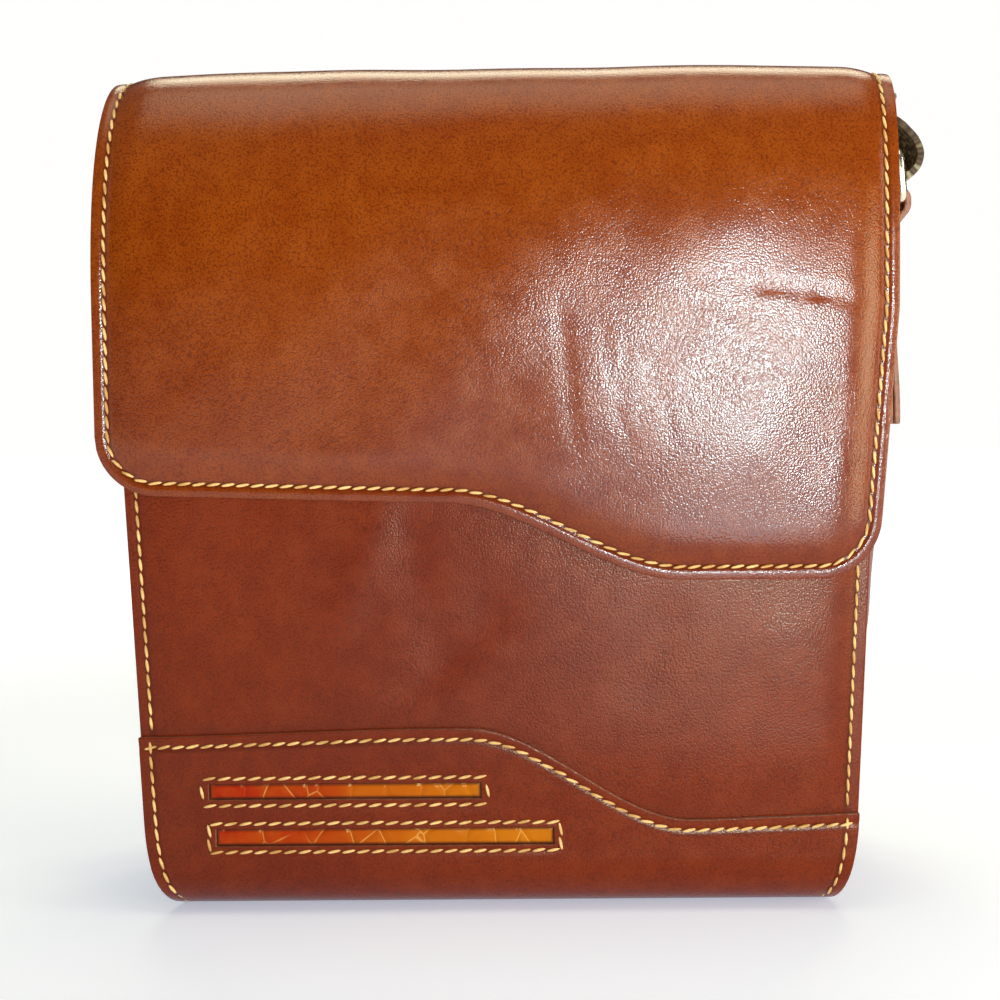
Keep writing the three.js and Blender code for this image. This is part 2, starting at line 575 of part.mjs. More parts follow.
// Woven strap: one loop of webbing from ring to ring, lying behind the bag.
function strap() {
  const right = strapHalf(RIGHT);
  const left = strapHalf(LEFT).map(({ point, across }) => ({
    point: point.clone().multiply(new THREE.Vector3(-1, 1, 1)),
    across: across.clone().multiply(new THREE.Vector3(-1, 1, 1)),
  }));
  return band([...right, ...left.reverse().slice(1)], STRAP_WIDTH, STRAP_THICKNESS);
}

const bag = new THREE.Group();

function add(name, geometry, finish) {
  const mesh = new THREE.Mesh(geometry, new THREE.MeshStandardMaterial(finish));
  mesh.name = name;
  bag.add(mesh);
}

add("body_wrap", bodyWrap(), LEATHER);
add("front_overlay", frontOverlay(), LEATHER);
add("inlay_upper", inlay(UPPER_WINDOW), INLAY_LEATHER);
add("inlay_lower", inlay(LOWER_WINDOW), INLAY_LEATHER);
add("flap", flap(), LEATHER);
for (const side of [LEFT, RIGHT]) {
  add("gusset_" + side.name, gusset(side), EDGE_LEATHER);
  add("tab_" + side.name, tab(side), EDGE_LEATHER);
  add("ring_" + side.name, ring(side), METAL);
}
add("strap", strap(), WEBBING);

export default bag;
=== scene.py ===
# %% [markdown]
# # A small shoulder bag in chestnut leather
# The bag stands on its base: a body folded from one sheet, two side walls, a padded flap that closes
# over the front, a leather overlay with two little windows, and a woven strap that goes from ring to
# ring behind it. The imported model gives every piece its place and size. This script dresses each of
# them: it makes the soft pieces again with finer bends, padding and sewn edges, and gives them leather,
# webbing, metal and thread.

# %% Load the frame
import json
import math

import bmesh
import bpy
from mathutils import Matrix, Vector
from mathutils.bvhtree import BVHTree
from mathutils.kdtree import KDTree

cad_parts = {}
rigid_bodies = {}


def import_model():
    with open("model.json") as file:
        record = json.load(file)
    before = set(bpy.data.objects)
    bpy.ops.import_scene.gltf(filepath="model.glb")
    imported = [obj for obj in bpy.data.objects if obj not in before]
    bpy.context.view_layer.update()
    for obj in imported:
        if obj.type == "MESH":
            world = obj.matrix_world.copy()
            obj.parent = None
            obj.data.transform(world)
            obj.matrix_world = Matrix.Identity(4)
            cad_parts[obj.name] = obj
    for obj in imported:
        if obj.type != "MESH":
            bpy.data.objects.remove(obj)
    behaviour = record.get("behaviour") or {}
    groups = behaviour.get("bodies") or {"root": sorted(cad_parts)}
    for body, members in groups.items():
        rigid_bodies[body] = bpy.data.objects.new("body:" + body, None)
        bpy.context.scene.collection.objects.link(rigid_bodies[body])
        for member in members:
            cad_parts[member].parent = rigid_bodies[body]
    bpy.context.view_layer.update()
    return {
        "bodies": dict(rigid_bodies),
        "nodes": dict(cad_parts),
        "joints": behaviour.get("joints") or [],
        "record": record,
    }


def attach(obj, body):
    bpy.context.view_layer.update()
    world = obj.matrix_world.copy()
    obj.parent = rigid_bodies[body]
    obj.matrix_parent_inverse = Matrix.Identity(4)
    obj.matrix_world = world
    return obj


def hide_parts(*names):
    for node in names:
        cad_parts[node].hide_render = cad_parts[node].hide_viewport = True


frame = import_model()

MM = 0.001
print("nodes:", sorted(frame["nodes"]))

# %% [markdown]
# ## Measures
# Leather goods are drawn in millimetres, so the shapes below are worked out in millimetres and only the
# finished corners are turned into metres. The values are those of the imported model: the body is 69 deep,
# its front leans back a little under the flap, and its lower corners are round.

# %% Measures of the body and the flap
WRAP_WALL, OVERLAY_WALL, GUSSET_WALL, FLAP_WALL, TAB_WALL = 2.4, 1.6, 1.6, 3.0, 2.0
GAP = 0.3
HALF_DEPTH, BASE_RADIUS = 34.5, 16.0
BODY_TOP, BACK_TOP = 232.0, 226.0
HALF_WIDTH_BASE, HALF_WIDTH_TOP = 111.5, 121.5
CORNER_WIDTH, CORNER_HEIGHT = 10, 30
WRAP_BASE = OVERLAY_WALL + GAP
FRONT_FOOT = WRAP_BASE + BASE_RADIUS
MARGIN, CROWN_RUN = 4.0, 12.0
FLAP_HALF_WIDTH, FLAP_FRONT, FLAP_TOP = 124.3, 39.2, 267.6
ROLL_FRONT, ROLL_BACK, TAIL = 77.0, 39.0, 28.0
ROLL_FOOT = FLAP_TOP - ROLL_FRONT
ROLL_POWER_LEFT, ROLL_POWER_RIGHT, ROLL_POWER_BACK = 2.3, 3.4, 2.2
UNDER_FLAP = FLAP_FRONT - HALF_DEPTH
FLAP_BEHIND, TAIL_END = HALF_DEPTH + GAP + FLAP_WALL, FLAP_TOP - ROLL_BACK - TAIL
OVERLAY_EDGE = dict(left=59.8, left_rise=0.03, left_end=-31, right=30, right_rise=0.035,
                    right_start=65, middle=24.5, run=70)
FLAP_EDGE = dict(left=131, left_rise=-0.03, left_end=-20, right=106.5, right_rise=0,
                 right_start=63, middle=21.5, run=77)


def clamp(t, low=0.0, high=1.0):
    return min(max(t, low), high)


def smooth(t):
    t = clamp(t)
    return t * t * (3 - 2 * t)


def mix(a, b, t):
    return a + (b - a) * t


def steps(count, start=0.0, end=1.0):
    return [mix(start, end, k / count) for k in range(count + 1)]


def body_half_width(z):
    """Half width of the body at a height, drawn in at its round lower corners."""
    corner = CORNER_WIDTH * (1 - math.sqrt(1 - clamp(1 - z / CORNER_HEIGHT) ** 2))
    return mix(HALF_WIDTH_BASE, HALF_WIDTH_TOP, z / BODY_TOP) - corner


def flap_depth(z, power):
    """Depth of the flap's outer face in front at a height."""
    t = clamp((z - ROLL_FOOT) / ROLL_FRONT)
    return FLAP_FRONT * (1 - t ** power) ** (1 / power)


def front_depth(z):
    """Depth of the body's front, which keeps its distance to the flap where that rolls back."""
    return min(HALF_DEPTH, flap_depth(z, ROLL_POWER_LEFT) - UNDER_FLAP)


def wave_edge(edge, x):
    """Height of an edge that steps down from left to right in one S-shaped wave."""
    left = edge["left"] + edge["left_rise"] * (min(x, edge["left_end"]) - edge["left_end"])
    right = edge["right"] + edge["right_rise"] * (max(x, edge["right_start"]) - edge["right_start"])
    return mix(left, right, smooth((x - edge["middle"]) / edge["run"] + 0.5))


# %% [markdown]
# ## Shader maths as expressions
# A finish is a small network of nodes. Written node by node it is long and hard to read, so one class
# wraps a socket and lets it be added, multiplied and compared like a number, another makes any node of
# a network in one call, and a third holds a material.

# %% A socket that can be used in an expression
class Sock:
    """A node's output, used like a number, a vector or a colour."""

    def __init__(self, network, socket):
        self.network, self.socket = network, socket

    def math(self, operation, other=0.0, swapped=False):
        a, b = (other, self) if swapped else (self, other)
        kind = "ShaderNodeVectorMath" if self.socket.type == "VECTOR" else "ShaderNodeMath"
        return self.network.node(kind, {"operation": operation}, {0: a, 1: b})

    def __add__(self, other):
        return self.math("ADD", other)

    def __sub__(self, other):
        return self.math("SUBTRACT", other)

    def __rsub__(self, other):
        return self.math("SUBTRACT", other, swapped=True)

    def __mul__(self, other):
        return self.math("MULTIPLY", other)

    def __gt__(self, other):
        return self.math("GREATER_THAN", other)

    __radd__, __rmul__ = __add__, __mul__

    def rise(self, low, high):
        """0 below low, 1 above high, and a soft slope between."""
        sockets = {"Value": self, "From Min": low, "From Max": high}
        return self.network.node("ShaderNodeMapRange", {"interpolation_type": "SMOOTHSTEP"}, sockets)


class Network:
    """The node tree of a material or a world."""

    def __init__(self, owner):
        owner.use_nodes = True
        self.tree = owner.node_tree

    def node(self, kind, settings=None, sockets=None, output=0):
        node = self.tree.nodes.new(kind)
        for key, value in (settings or {}).items():
            setattr(node, key, value)
        for key, value in (sockets or {}).items():
            self.put(node.inputs[key], value)
        return Sock(self, node.outputs[output])

    def put(self, target, value):
        if isinstance(value, Sock):
            self.tree.links.new(value.socket, target)
        elif target.type == "VECTOR" and isinstance(value, (int, float)):
            target.default_value = (value,) * 3
        else:
            target.default_value = value

    def part(self, vector, axis):
        """One coordinate of a vector: 0 for x, 1 for y, 2 for z."""
        return self.node("ShaderNodeSeparateXYZ", None, {0: vector}, output=axis)


class Finish(Network):
    """A material with one Principled shader."""

    def __init__(self, name, **constants):
        self.material = bpy.data.materials.new(name)
        super().__init__(self.material)
        self.place = self.node("ShaderNodeTexCoord", output="Object")
        self.set(**constants)

    def set(self, **values):
        """Sets or links sockets of the shader: Base_Color stands for its socket Base Color."""
        for socket, value in values.items():
            self.put(self.tree.nodes["Principled BSDF"].inputs[socket.replace("_", " ")], value)

    def attribute(self, name):
        return self.node("ShaderNodeAttribute", {"attribute_name": name}, output="Fac")

    def mapped(self, **sockets):
        """The place, turned or scaled."""
        return self.node("ShaderNodeMapping", None, {"Vector": self.place, **sockets})

    def noise(self, scale, detail=2.0, roughness=0.5):
        sockets = {"Vector": self.place, "Scale": scale, "Detail": detail, "Roughness": roughness}
        return self.node("ShaderNodeTexNoise", None, sockets)

    def cells(self, place, scale, feature="F1", randomness=1.0):
        sockets = {"Vector": place, "Scale": scale, "Randomness": randomness}
        return self.node("ShaderNodeTexVoronoi", {"feature": feature}, sockets)

    def blend(self, share, a, b):
        """Colour a where share is 0 and b where it is 1."""
        a, b = ((*c, 1.0) if isinstance(c, tuple) else c for c in (a, b))
        return self.node("ShaderNodeMix", {"data_type": "RGBA"}, {0: share, 6: a, 7: b}, output=2)

    def relief(self, height, depth, strength):
        sockets = {"Height": height, "Distance": depth, "Strength": strength}
        self.set(Normal=self.node("ShaderNodeBump", None, sockets))


print("Sock, Network and Finish are ready")

# %% [markdown]
# ## Leather
# The flap is full-grain leather with a semi-gloss finish. Close up it is covered in fine pebbles a bit
# over half a millimetre across, which break a reflection into sparks, and its right half has fine
# wrinkles. The dye is uneven over a hand's breadth. The colour lightens towards the top, partly dye and
# partly painted light from above, and a painted shade darkens the groove where the stitches pull the
# surface down.
# The front is a darker and redder leather with a warmer shine, the side walls are duller, and the tabs
# are a paler tan, partly their own colour and partly a painted highlight. The sheets carry their distance
# from the edge as an attribute, so the finish can follow the seams.

# %% Grain leather in four shades
PEBBLE, WRINKLE = 0.00062, 0.0017


def grain_leather(name, deep, bright, roughness, gloss, bump, wrinkled=0.0, shine=(1, 1, 1)):
    finish = Finish(name, Specular_IOR_Level=gloss, Specular_Tint=(*shine, 1))
    cloud = finish.noise(11, 3).rise(0.34, 0.68)
    mottle = finish.noise(130, 4, 0.6).rise(0.3, 0.72)
    pebbles = finish.cells(finish.place, 1 / PEBBLE)
    off_seam = finish.attribute("edge_distance") - MARGIN
    # Painted shade: the colour darkens in the groove along the stitches.
    seam_groove_shade = 1 - (off_seam * off_seam).rise(0.0, 2.2)
    # Partly painted light: the colour turns lighter towards the top, partly the dye and partly painted light
    # from above.
    upper = finish.part(finish.place, 2).rise(0.1, 0.22)
    colour = finish.blend(cloud * 0.25 + mottle * 0.35 + upper * 0.4, deep, bright)
    # The deep dye made darker: it darkens the pebbles' grain, and it is also the painted shade along the
    # stitches.
    dark = tuple(0.55 * c for c in deep)
    colour = finish.blend(pebbles.rise(0.3, 0.9) * 0.6, colour, dark)
    colour = finish.blend(seam_groove_shade * 0.5, colour, dark)
    finish.set(Base_Color=colour, Roughness=mottle * 0.06 + pebbles * 0.07 + roughness)
    height = finish.noise(2600) * 0.2 - pebbles
    if wrinkled:
        stretched = finish.mapped(Scale=(1.0, 1.0, 0.55))
        folds = finish.cells(stretched, 1 / WRINKLE, "DISTANCE_TO_EDGE").rise(0.0, 0.09)
        right = finish.part(finish.place, 0).rise(-0.01, 0.05)
        height = height + (folds - 1) * finish.noise(34).rise(0.42, 0.6) * right * wrinkled
    finish.relief(height, 0.00010, bump)
    return finish.material


flap_leather = grain_leather("flap_leather", (0.145, 0.015, 0.001), (0.265, 0.050, 0.0025),
                             0.13, 0.37, 0.45, wrinkled=0.4)
body_leather = grain_leather("body_leather", (0.125, 0.009, 0.0005), (0.225, 0.026, 0.001),
                             0.17, 0.27, 0.6, shine=(1, 0.86, 0.68))
side_leather = grain_leather("side_leather", (0.14, 0.016, 0.002), (0.23, 0.034, 0.005), 0.28, 0.22, 0.6)
# Partly a painted highlight: the tabs' paler tan is partly their own colour and partly painted light.
tab_leather = grain_leather("tab_leather", (0.27, 0.10, 0.045), (0.42, 0.19, 0.10), 0.3, 0.25, 0.6)
print("leathers:", flap_leather.name, body_leather.name, side_leather.name, tab_leather.name)

# %% [markdown]
# ## Cut edges and the back of the leather
# The cut edges are rubbed and painted a lighter, greyer brown, which draws a thin line around the flap
# and the overlay. The inner face is plain brown flesh side, with a short nap.

# %% Painted edge and flesh side
def painted_edge():
    finish = Finish("edge_paint", Specular_IOR_Level=0.45)
    streaks = finish.noise(420, 3, 0.6).rise(0.3, 0.7)
    colour = finish.blend(streaks, (0.19, 0.062, 0.03), (0.31, 0.12, 0.066))
    finish.set(Base_Color=colour, Roughness=streaks * 0.12 + 0.4)
    finish.relief(streaks, 0.00008, 0.6)
    return finish.material


def flesh_side():
    finish = Finish("flesh_side", Specular_IOR_Level=0.2)
    nap = finish.noise(900, 4, 0.7)
    colour = finish.blend(nap.rise(0.3, 0.7), (0.13, 0.055, 0.03), (0.24, 0.11, 0.062))
    finish.set(Base_Color=colour, Roughness=nap * 0.1 + 0.8)
    finish.relief(nap, 0.0002, 0.6)
    return finish.material


edge_paint, flesh = painted_edge(), flesh_side()


def sheet_of(grain):
    """The finishes of a sheet: its grain side, its cut edge and its flesh side."""
    return [grain, edge_paint, flesh]


print("edges:", edge_paint.name, flesh.name)

# %% [markdown]
# ## A sheet of leather
# Every leather piece is a sheet that is bent, so one helper makes them all. It starts from a flat grid,
# moves each corner to where the bent leather is, and notes how far that corner is from the cut edge.
# Solidify then gives the sheet its wall, with the painted edge on its rim and the flesh side behind, and
# Bevel rounds the rim. The rows of the grid lie closer together near an edge, where the leather bends
# most.

# %% Grid, wall and rounded rim
def ladder(length, near, far, growth=1.15):
    """Distances from 0 to length, close together at both ends and wider apart between."""
    half, step = [0.0], near
    while half[-1] + step < length / 2:
        half.append(half[-1] + step)
        step = min(step * growth, far)
    scale = length / 2 / half[-1]
    half = [d * scale for d in half]
    return half + [length - d for d in reversed(half[:-1])]


def bent_grid(columns, rows, place):
    """A grid whose corners go to place(column, row) -> ((x, y, z), distance from the edge), in mm."""
    mesh = bmesh.new()
    bmesh.ops.create_grid(mesh, x_segments=len(columns) - 1, y_segments=len(rows) - 1, size=1)
    assert len(mesh.verts) == len(columns) * len(rows)
    edge_distance = mesh.verts.layers.float.new("edge_distance")
    for vert in mesh.verts:
        i = round((vert.co.x + 1) / 2 * (len(columns) - 1))
        j = round((vert.co.y + 1) / 2 * (len(rows) - 1))
        point, distance = place(columns[i], rows[j])
        vert.co = Vector(point) * MM
        vert[edge_distance] = distance
    mesh.normal_update()
    return mesh


def add_object(name, data):
    thing = bpy.data.objects.new(name, data)
    bpy.context.scene.collection.objects.link(thing)
    return thing


def make_piece(name, mesh, finishes, nodes,
               wall=0.0, offset=-1.0, rounding=0.5, segments=2, even=True):
    """Turns a bmesh into a piece of the bag that stands for the named nodes."""
    data = bpy.data.meshes.new(name)
    mesh.to_mesh(data)
    mesh.free()
    data.polygons.foreach_set("use_smooth", [True] * len(data.polygons))
    for finish in finishes:
        data.materials.append(finish)
    piece = add_object(name, data)
    if wall:
        solid = piece.modifiers.new("wall", "SOLIDIFY")
        solid.thickness, solid.offset, solid.use_even_offset = wall * MM, offset, even
        solid.material_offset_rim = min(1, len(finishes) - 1)
        solid.material_offset = len(finishes) - 1
        rim = piece.modifiers.new("rim", "BEVEL")
        rim.width, rim.segments, rim.limit_method = rounding * MM, segments, "ANGLE"
        rim.angle_limit = math.radians(50)
    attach(piece, "root")
    if nodes:
        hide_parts(*nodes)
    print(name, len(data.polygons), "faces")
    return piece


surfaces = {}  # outer faces, for the stitches to lie on

# %% [markdown]
# ## Body
# Front, base and back are one sheet, bent twice at the base. The front is padded a little, so it rises
# just inside its seams, and its top leans back under the flap.

# %% Outline of the body and its padding
SIDE_SEAM, GROOVE = 3.8, 0.3
BODY_CROWN, CROWN_FADE = 1.2, 40
NOMINAL_WIDTH = 240


def puff(distance):
    """Share of the padding's height at a distance from the edge: it starts steeply at the seam."""
    return 1 - (1 - clamp((distance - MARGIN) / CROWN_RUN)) ** 2.2


def dimple(distance, at=MARGIN, width=0.8):
    """A narrow groove along the stitches."""
    return math.exp(-(((distance - at) / width) ** 2))


def creased(creases, x, z):
    """Depth of a set of creases, each from one point to another with its depth and width."""
    depth = 0.0
    for (ax, az), (bx, bz), deep, width in creases:
        dx, dz = bx - ax, bz - az
        t = clamp(((x - ax) * dx + (z - az) * dz) / (dx * dx + dz * dz))
        away = math.hypot(x - ax - t * dx, z - az - t * dz)
        if away < 3 * width:
            depth += deep * math.exp(-((away / width) ** 2))
    return depth


DENTS_FOOT, DENTS_TOP, DENTS_FADE = 62, 180, 12
BODY_DENTS = [  # from, to, depth, width
    ((-32, 135), (-50, 92), -0.45, 6), ((-4, 95), (-32, 66), 0.8, 8), ((-30, 128), (-20, 84), 0.35, 6),
    ((52, 92), (40, 62), 0.3, 8), ((90, 88), (96, 50), -0.3, 8), ((-92, 118), (-80, 86), 0.25, 8),
]


def body_crown(x, z):
    """Height of the front's padding over its plain outline."""
    side = body_half_width(z) - abs(x)
    rise = BODY_CROWN * puff(side)
    if DENTS_FOOT < z < DENTS_TOP:
        rise -= creased(BODY_DENTS, x, z) * smooth((z - DENTS_FOOT) / DENTS_FADE)
    return rise * smooth((z - FRONT_FOOT) / CROWN_FADE) - GROOVE * dimple(side, SIDE_SEAM)


def wrap_rows(front, back):
    """Rows over the back, base and front: each gives y, z and the direction that faces outwards."""
    rows = [(HALF_DEPTH, z, 1.0, 0.0) for z in back]
    flat = HALF_DEPTH - BASE_RADIUS
    for side, start in ((1, 0.0), (-1, math.pi / 2)):
        for a in steps(10, start, start + math.pi / 2):
            out_y, out_z = math.cos(a), -math.sin(a)
            rows.append((side * flat + BASE_RADIUS * out_y, FRONT_FOOT + BASE_RADIUS * out_z, out_y, out_z))
        if side == 1:
            rows += [(y, WRAP_BASE, 0.0, -1.0) for y in steps(6, flat, -flat)[1:-1]]
    return rows + [(-front_depth(z), z, -1.0, 0.0) for z in front]


def on_wrap(x, row, lift=0.0):
    """A point of the body at x on a row, lifted off it by the padding and by lift."""
    y, z, out_y, out_z = row
    if abs(out_y) > 0.5:
        lift += body_crown(x, z) if y < 0 else -0.25 * dimple(body_half_width(z) - abs(x), SIDE_SEAM)
    return (x, y + out_y * lift, z + out_z * lift)


def shares_across(near, far):
    """Places across the body or the overlay, as shares of the half width from -1 to 1."""
    return [2 * d / NOMINAL_WIDTH - 1 for d in ladder(NOMINAL_WIDTH, near, far)]


# %% Body in one sheet
def make_body():
    shares = shares_across(0.7, 4.0)
    front = [FRONT_FOOT + d for d in ladder(BODY_TOP - FRONT_FOOT, 1.0, 3.4)][1:]
    back = [BACK_TOP - d for d in ladder(BACK_TOP - FRONT_FOOT, 1.0, 5.0)][:-1]

    def place(share, row):
        half = body_half_width(row[1])
        x = share * half
        return on_wrap(x, row), half - abs(x)

    mesh = bent_grid(shares, wrap_rows(front, back), place)
    surfaces["body"] = BVHTree.FromBMesh(mesh)
    return make_piece("body", mesh, sheet_of(body_leather), ["body_wrap"], WRAP_WALL)


body = make_body()

# %% [markdown]
# ## Overlay with its windows
# A second layer covers the lower front. Its upper edge runs in the same S as the flap's, and it is
# carried round the base to a low straight edge behind. Two narrow windows are cut in it: the grid is cut
# along their sides with bisect_plane, and the faces inside are deleted before the sheet gets its wall.

# %% Overlay
WINDOWS = {
    "inlay_upper": dict(left=-92.2, right=-6.2, bottom=37.4, top=42.8),
    "inlay_lower": dict(left=-90.4, right=16.6, bottom=22.4, top=28.2),
}
OVERLAY_SEAM, BACK_EDGE = 3.2, 30
WINDOW_SEAM = 1.9


def window_distance(x, z):
    """Distance from the nearest window's edge, negative inside it."""
    def outside(w):
        across = max(w["left"] - x, x - w["right"])
        up = max(w["bottom"] - z, z - w["top"])
        return math.hypot(max(across, 0), max(up, 0)) + min(max(across, up), 0)
    return min(outside(w) for w in WINDOWS.values())


def make_overlay():
    shares = shares_across(0.7, 2.4)
    climb = [1 - d for d in ladder(1, 0.018, 0.03, 1.05)][::-1][1:]
    back = [BACK_EDGE - d for d in (0, 0.6, 1.4, 2.4, 3.4, 4.6, 6.2, 8.5)]
    lift = GAP + OVERLAY_WALL

    def place(share, row):
        if isinstance(row, float):
            edge = wave_edge(OVERLAY_EDGE, share * body_half_width(OVERLAY_EDGE["right"]))
            z = mix(FRONT_FOOT, edge, row)
            to_edge, row = edge - z, (-front_depth(z), z, -1.0, 0.0)
        else:
            to_edge = BACK_EDGE - row[1] if row[0] > 30 else 20
        x = share * body_half_width(row[1])
        sewn = 0.3 * dimple(to_edge, OVERLAY_SEAM)
        if row[0] < 0 and row[1] > FRONT_FOOT:
            sewn += 0.3 * dimple(window_distance(x, row[1]), WINDOW_SEAM, 0.7)
        return on_wrap(x, row, lift - sewn), min(to_edge, body_half_width(row[1]) - abs(x))

    mesh = bent_grid(shares, wrap_rows([], back) + climb, place)
    for window in WINDOWS.values():
        for key, axis in (("left", 0), ("right", 0), ("bottom", 2), ("top", 2)):
            point, normal = Vector(), Vector()
            point[axis], normal[axis] = window[key] * MM, 1
            front = [f for f in mesh.faces if f.calc_center_median().y < -0.03]
            around = {part for f in front for part in (*f.verts, *f.edges, f)}
            bmesh.ops.bisect_plane(mesh, geom=list(around), dist=1e-6, plane_co=point, plane_no=normal)
    surfaces["overlay"] = BVHTree.FromBMesh(mesh)
    holes = []
    for face in mesh.faces:
        middle = face.calc_center_median() / MM
        if middle.y < -30 and window_distance(middle.x, middle.z) < 0:
            holes.append(face)
    bmesh.ops.delete(mesh, geom=holes, context="FACES")
    return make_piece("overlay", mesh, sheet_of(body_leather), ["front_overlay"],
                      OVERLAY_WALL, rounding=0.55)


overlay = make_overlay()

# %% [markdown]
# ## Inlays
# In each window lies a strip of scaled, embossed leather, glossy and dyed from a deep orange red at the
# left to amber at the right. The scales are large cells with thin pale cracks between them. Voronoi's
# distance to the edge draws such cracks, and a slow noise lets some of them fade.

# %% Scaled leather
def scaled_leather():
    finish = Finish("scaled_leather", Specular_IOR_Level=0.15, Specular_Tint=(1, 0.7, 0.3, 1),
                    Coat_Roughness=0.1)
    turned = finish.mapped(Rotation=(0.0, math.radians(38), 0.0), Scale=(1.0, 1.0, 0.62))
    cracks = finish.cells(turned, 105, "DISTANCE_TO_EDGE", 0.75)
    fade = finish.noise(60).rise(0.38, 0.6)
    blotch = finish.noise(90, 3, 0.6)
    warm = (finish.part(finish.place, 0) + blotch * 0.02 - 0.01).rise(-0.088, 0.012)
    colour = finish.blend(warm, (0.32, 0.012, 0.001), (0.47, 0.125, 0.002))
    colour = finish.blend(blotch.rise(0.35, 0.75) * 0.25, colour, (0.5, 0.14, 0.003))
    line = (1 - cracks.rise(0.0, 0.03)) * fade
    colour = finish.blend(line * 0.4, colour, (0.85, 0.45, 0.1))
    # Painted shade: the strip darkens towards its edges, where it lies in the recess of its window.
    rim = 1 - finish.attribute("edge_distance").rise(0.15, 1.1)
    colour = finish.blend(rim * 0.85, colour, (0.075, 0.02, 0.012))
    finish.set(Base_Color=colour, Roughness=blotch * 0.12 + 0.18, Coat_Weight=0.07 - line * 0.05)
    finish.relief(cracks.rise(0.0, 0.16), 0.0003, 0.8)
    return finish.material


scales = scaled_leather()


INLAY_RISE, INLAY_DIP, INLAY_WALL = 0.8, 0.3, 0.45


def make_inlay(node, window):
    def between(low, high, near, far):
        start, end = window[low] + GAP, window[high] - GAP
        return [start + d for d in ladder(end - start, near, far)]

    def place(x, z):
        distance = -window_distance(x, z) - GAP
        lift = GAP + INLAY_RISE - INLAY_DIP * (1 - smooth(distance / 1.3))
        return on_wrap(x, (-front_depth(z), z, -1.0, 0.0), lift), distance

    mesh = bent_grid(between("left", "right", 0.3, 1.6), between("bottom", "top", 0.25, 0.6), place)
    return make_piece(node + "_strip", mesh, [scales], [node], INLAY_WALL)


inlays = [make_inlay(node, window) for node, window in WINDOWS.items()]

# %% [markdown]
# ## Side walls
# The gussets are single sheets whose edges turn outwards and are sewn between the front and the back, so
# a narrow flange shows beside each seam. Between the flanges the wall bulges, most of all above the
# middle.

# %% Gussets
BULGE = {"left": 12.5, "right": 15.5}
SIDEWAYS = {"left": -1, "right": 1}
BULGE_ROWS = [(0, 0), (0.2, 0.4), (0.42, 0.74), (0.66, 0.92), (0.84, 0.72), (1, 0.68)]
FLANGE = 6.0


def bulge_share(height):
    for (low, a), (high, b) in zip(BULGE_ROWS, BULGE_ROWS[1:]):
        if height <= high:
            return mix(a, b, smooth((height - low) / (high - low)))
    return BULGE_ROWS[-1][1]


def gusset_face(side, share, z):
    rise = BULGE[side] * bulge_share(z / BODY_TOP)
    return body_half_width(z) - FLANGE + rise * (1 - abs(share) ** 3)


def make_gusset(side):
    seat = WRAP_WALL + GAP
    arc = [("arc", a) for a in steps(9, 0, math.pi / 2)]
    heights = [("wall", z) for z in steps(56, FRONT_FOOT, BODY_TOP)[1:]]
    flange = steps(3)
    rows = [("flange", t) for t in flange[:-1]] + arc + heights
    columns = [-2 + t for t in flange[:-1]] + steps(28, -1, 1) + [1 + t for t in flange[1:]]

    def place(column, row):
        share, turned = clamp(column, -1, 1), max(abs(column) - 1, 0)
        kind, value = row
        angle = 0 if kind == "flange" else value
        seam_z = value if kind == "wall" else FRONT_FOOT - BASE_RADIUS * math.cos(angle)
        z = value if kind == "wall" else FRONT_FOOT - (BASE_RADIUS - seat) * math.cos(angle)
        if kind == "wall":
            front, back = front_depth(z) - seat, HALF_DEPTH - seat
        else:
            front = back = HALF_DEPTH - BASE_RADIUS + (BASE_RADIUS - seat) * math.sin(angle)
        inner = smooth(1 - turned) * (smooth(value) if kind == "flange" else 1)
        x = mix(body_half_width(seam_z), gusset_face(side, share, seam_z), inner)
        return (SIDEWAYS[side] * x, mix(-front, back, (share + 1) / 2), z), 20 * inner

    mesh = bent_grid(columns, rows, place)
    flat = [face for face in mesh.faces if face.calc_area() < 1e-12]
    bmesh.ops.delete(mesh, geom=flat, context="FACES_ONLY")
    bmesh.ops.remove_doubles(mesh, verts=mesh.verts, dist=1e-6)
    print("closed", len(flat), "flat corners of the flange")
    if SIDEWAYS[side] < 0:
        bmesh.ops.reverse_faces(mesh, faces=mesh.faces)
    return make_piece("side_wall_" + side, mesh, sheet_of(side_leather),
                      ["gusset_" + side], GUSSET_WALL, rounding=0.45)


side_walls = [make_gusset(side) for side in ("left", "right")]

# %% [markdown]
# ## Flap
# The flap is the face of the bag. It is sewn to the back, rolls over the top and closes over the front,
# and a thin pad lies under its leather inside the stitches, so it stands about two millimetres proud of a
# flat margin. The outline is rolled more squarely at its right end than at its left. Here the padding,
# the pull of the stitches and the soft creases are moves of the grid's corners: the pad is thin and sewn
# down all round, so a cloth simulation would add little but time.

# %% Outline of the flap
RADIUS_LEFT, RADIUS_RIGHT, NARROWING = 18, 20.5, 5


def flap_half_width(share, z):
    reach = ROLL_FOOT - FLAP_EDGE["right"] - RADIUS_RIGHT
    return FLAP_HALF_WIDTH - (NARROWING * clamp((ROLL_FOOT - z) / reach) if share > 0 else 0)


def flap_edge(share):
    """Height of the lower edge at a share of the half width, round corners included."""
    radius = RADIUS_LEFT if share < 0 else RADIUS_RIGHT
    into = clamp(radius - (1 - abs(share)) * FLAP_HALF_WIDTH, 0, radius)
    return wave_edge(FLAP_EDGE, share * FLAP_HALF_WIDTH) + radius - math.sqrt(radius ** 2 - into ** 2)


def rounded(angle, power):
    """A point of a quarter round: power 2 makes a circle, and a higher one is squarer."""
    return max(math.cos(angle), 0) ** (2 / power), max(math.sin(angle), 0) ** (2 / power)


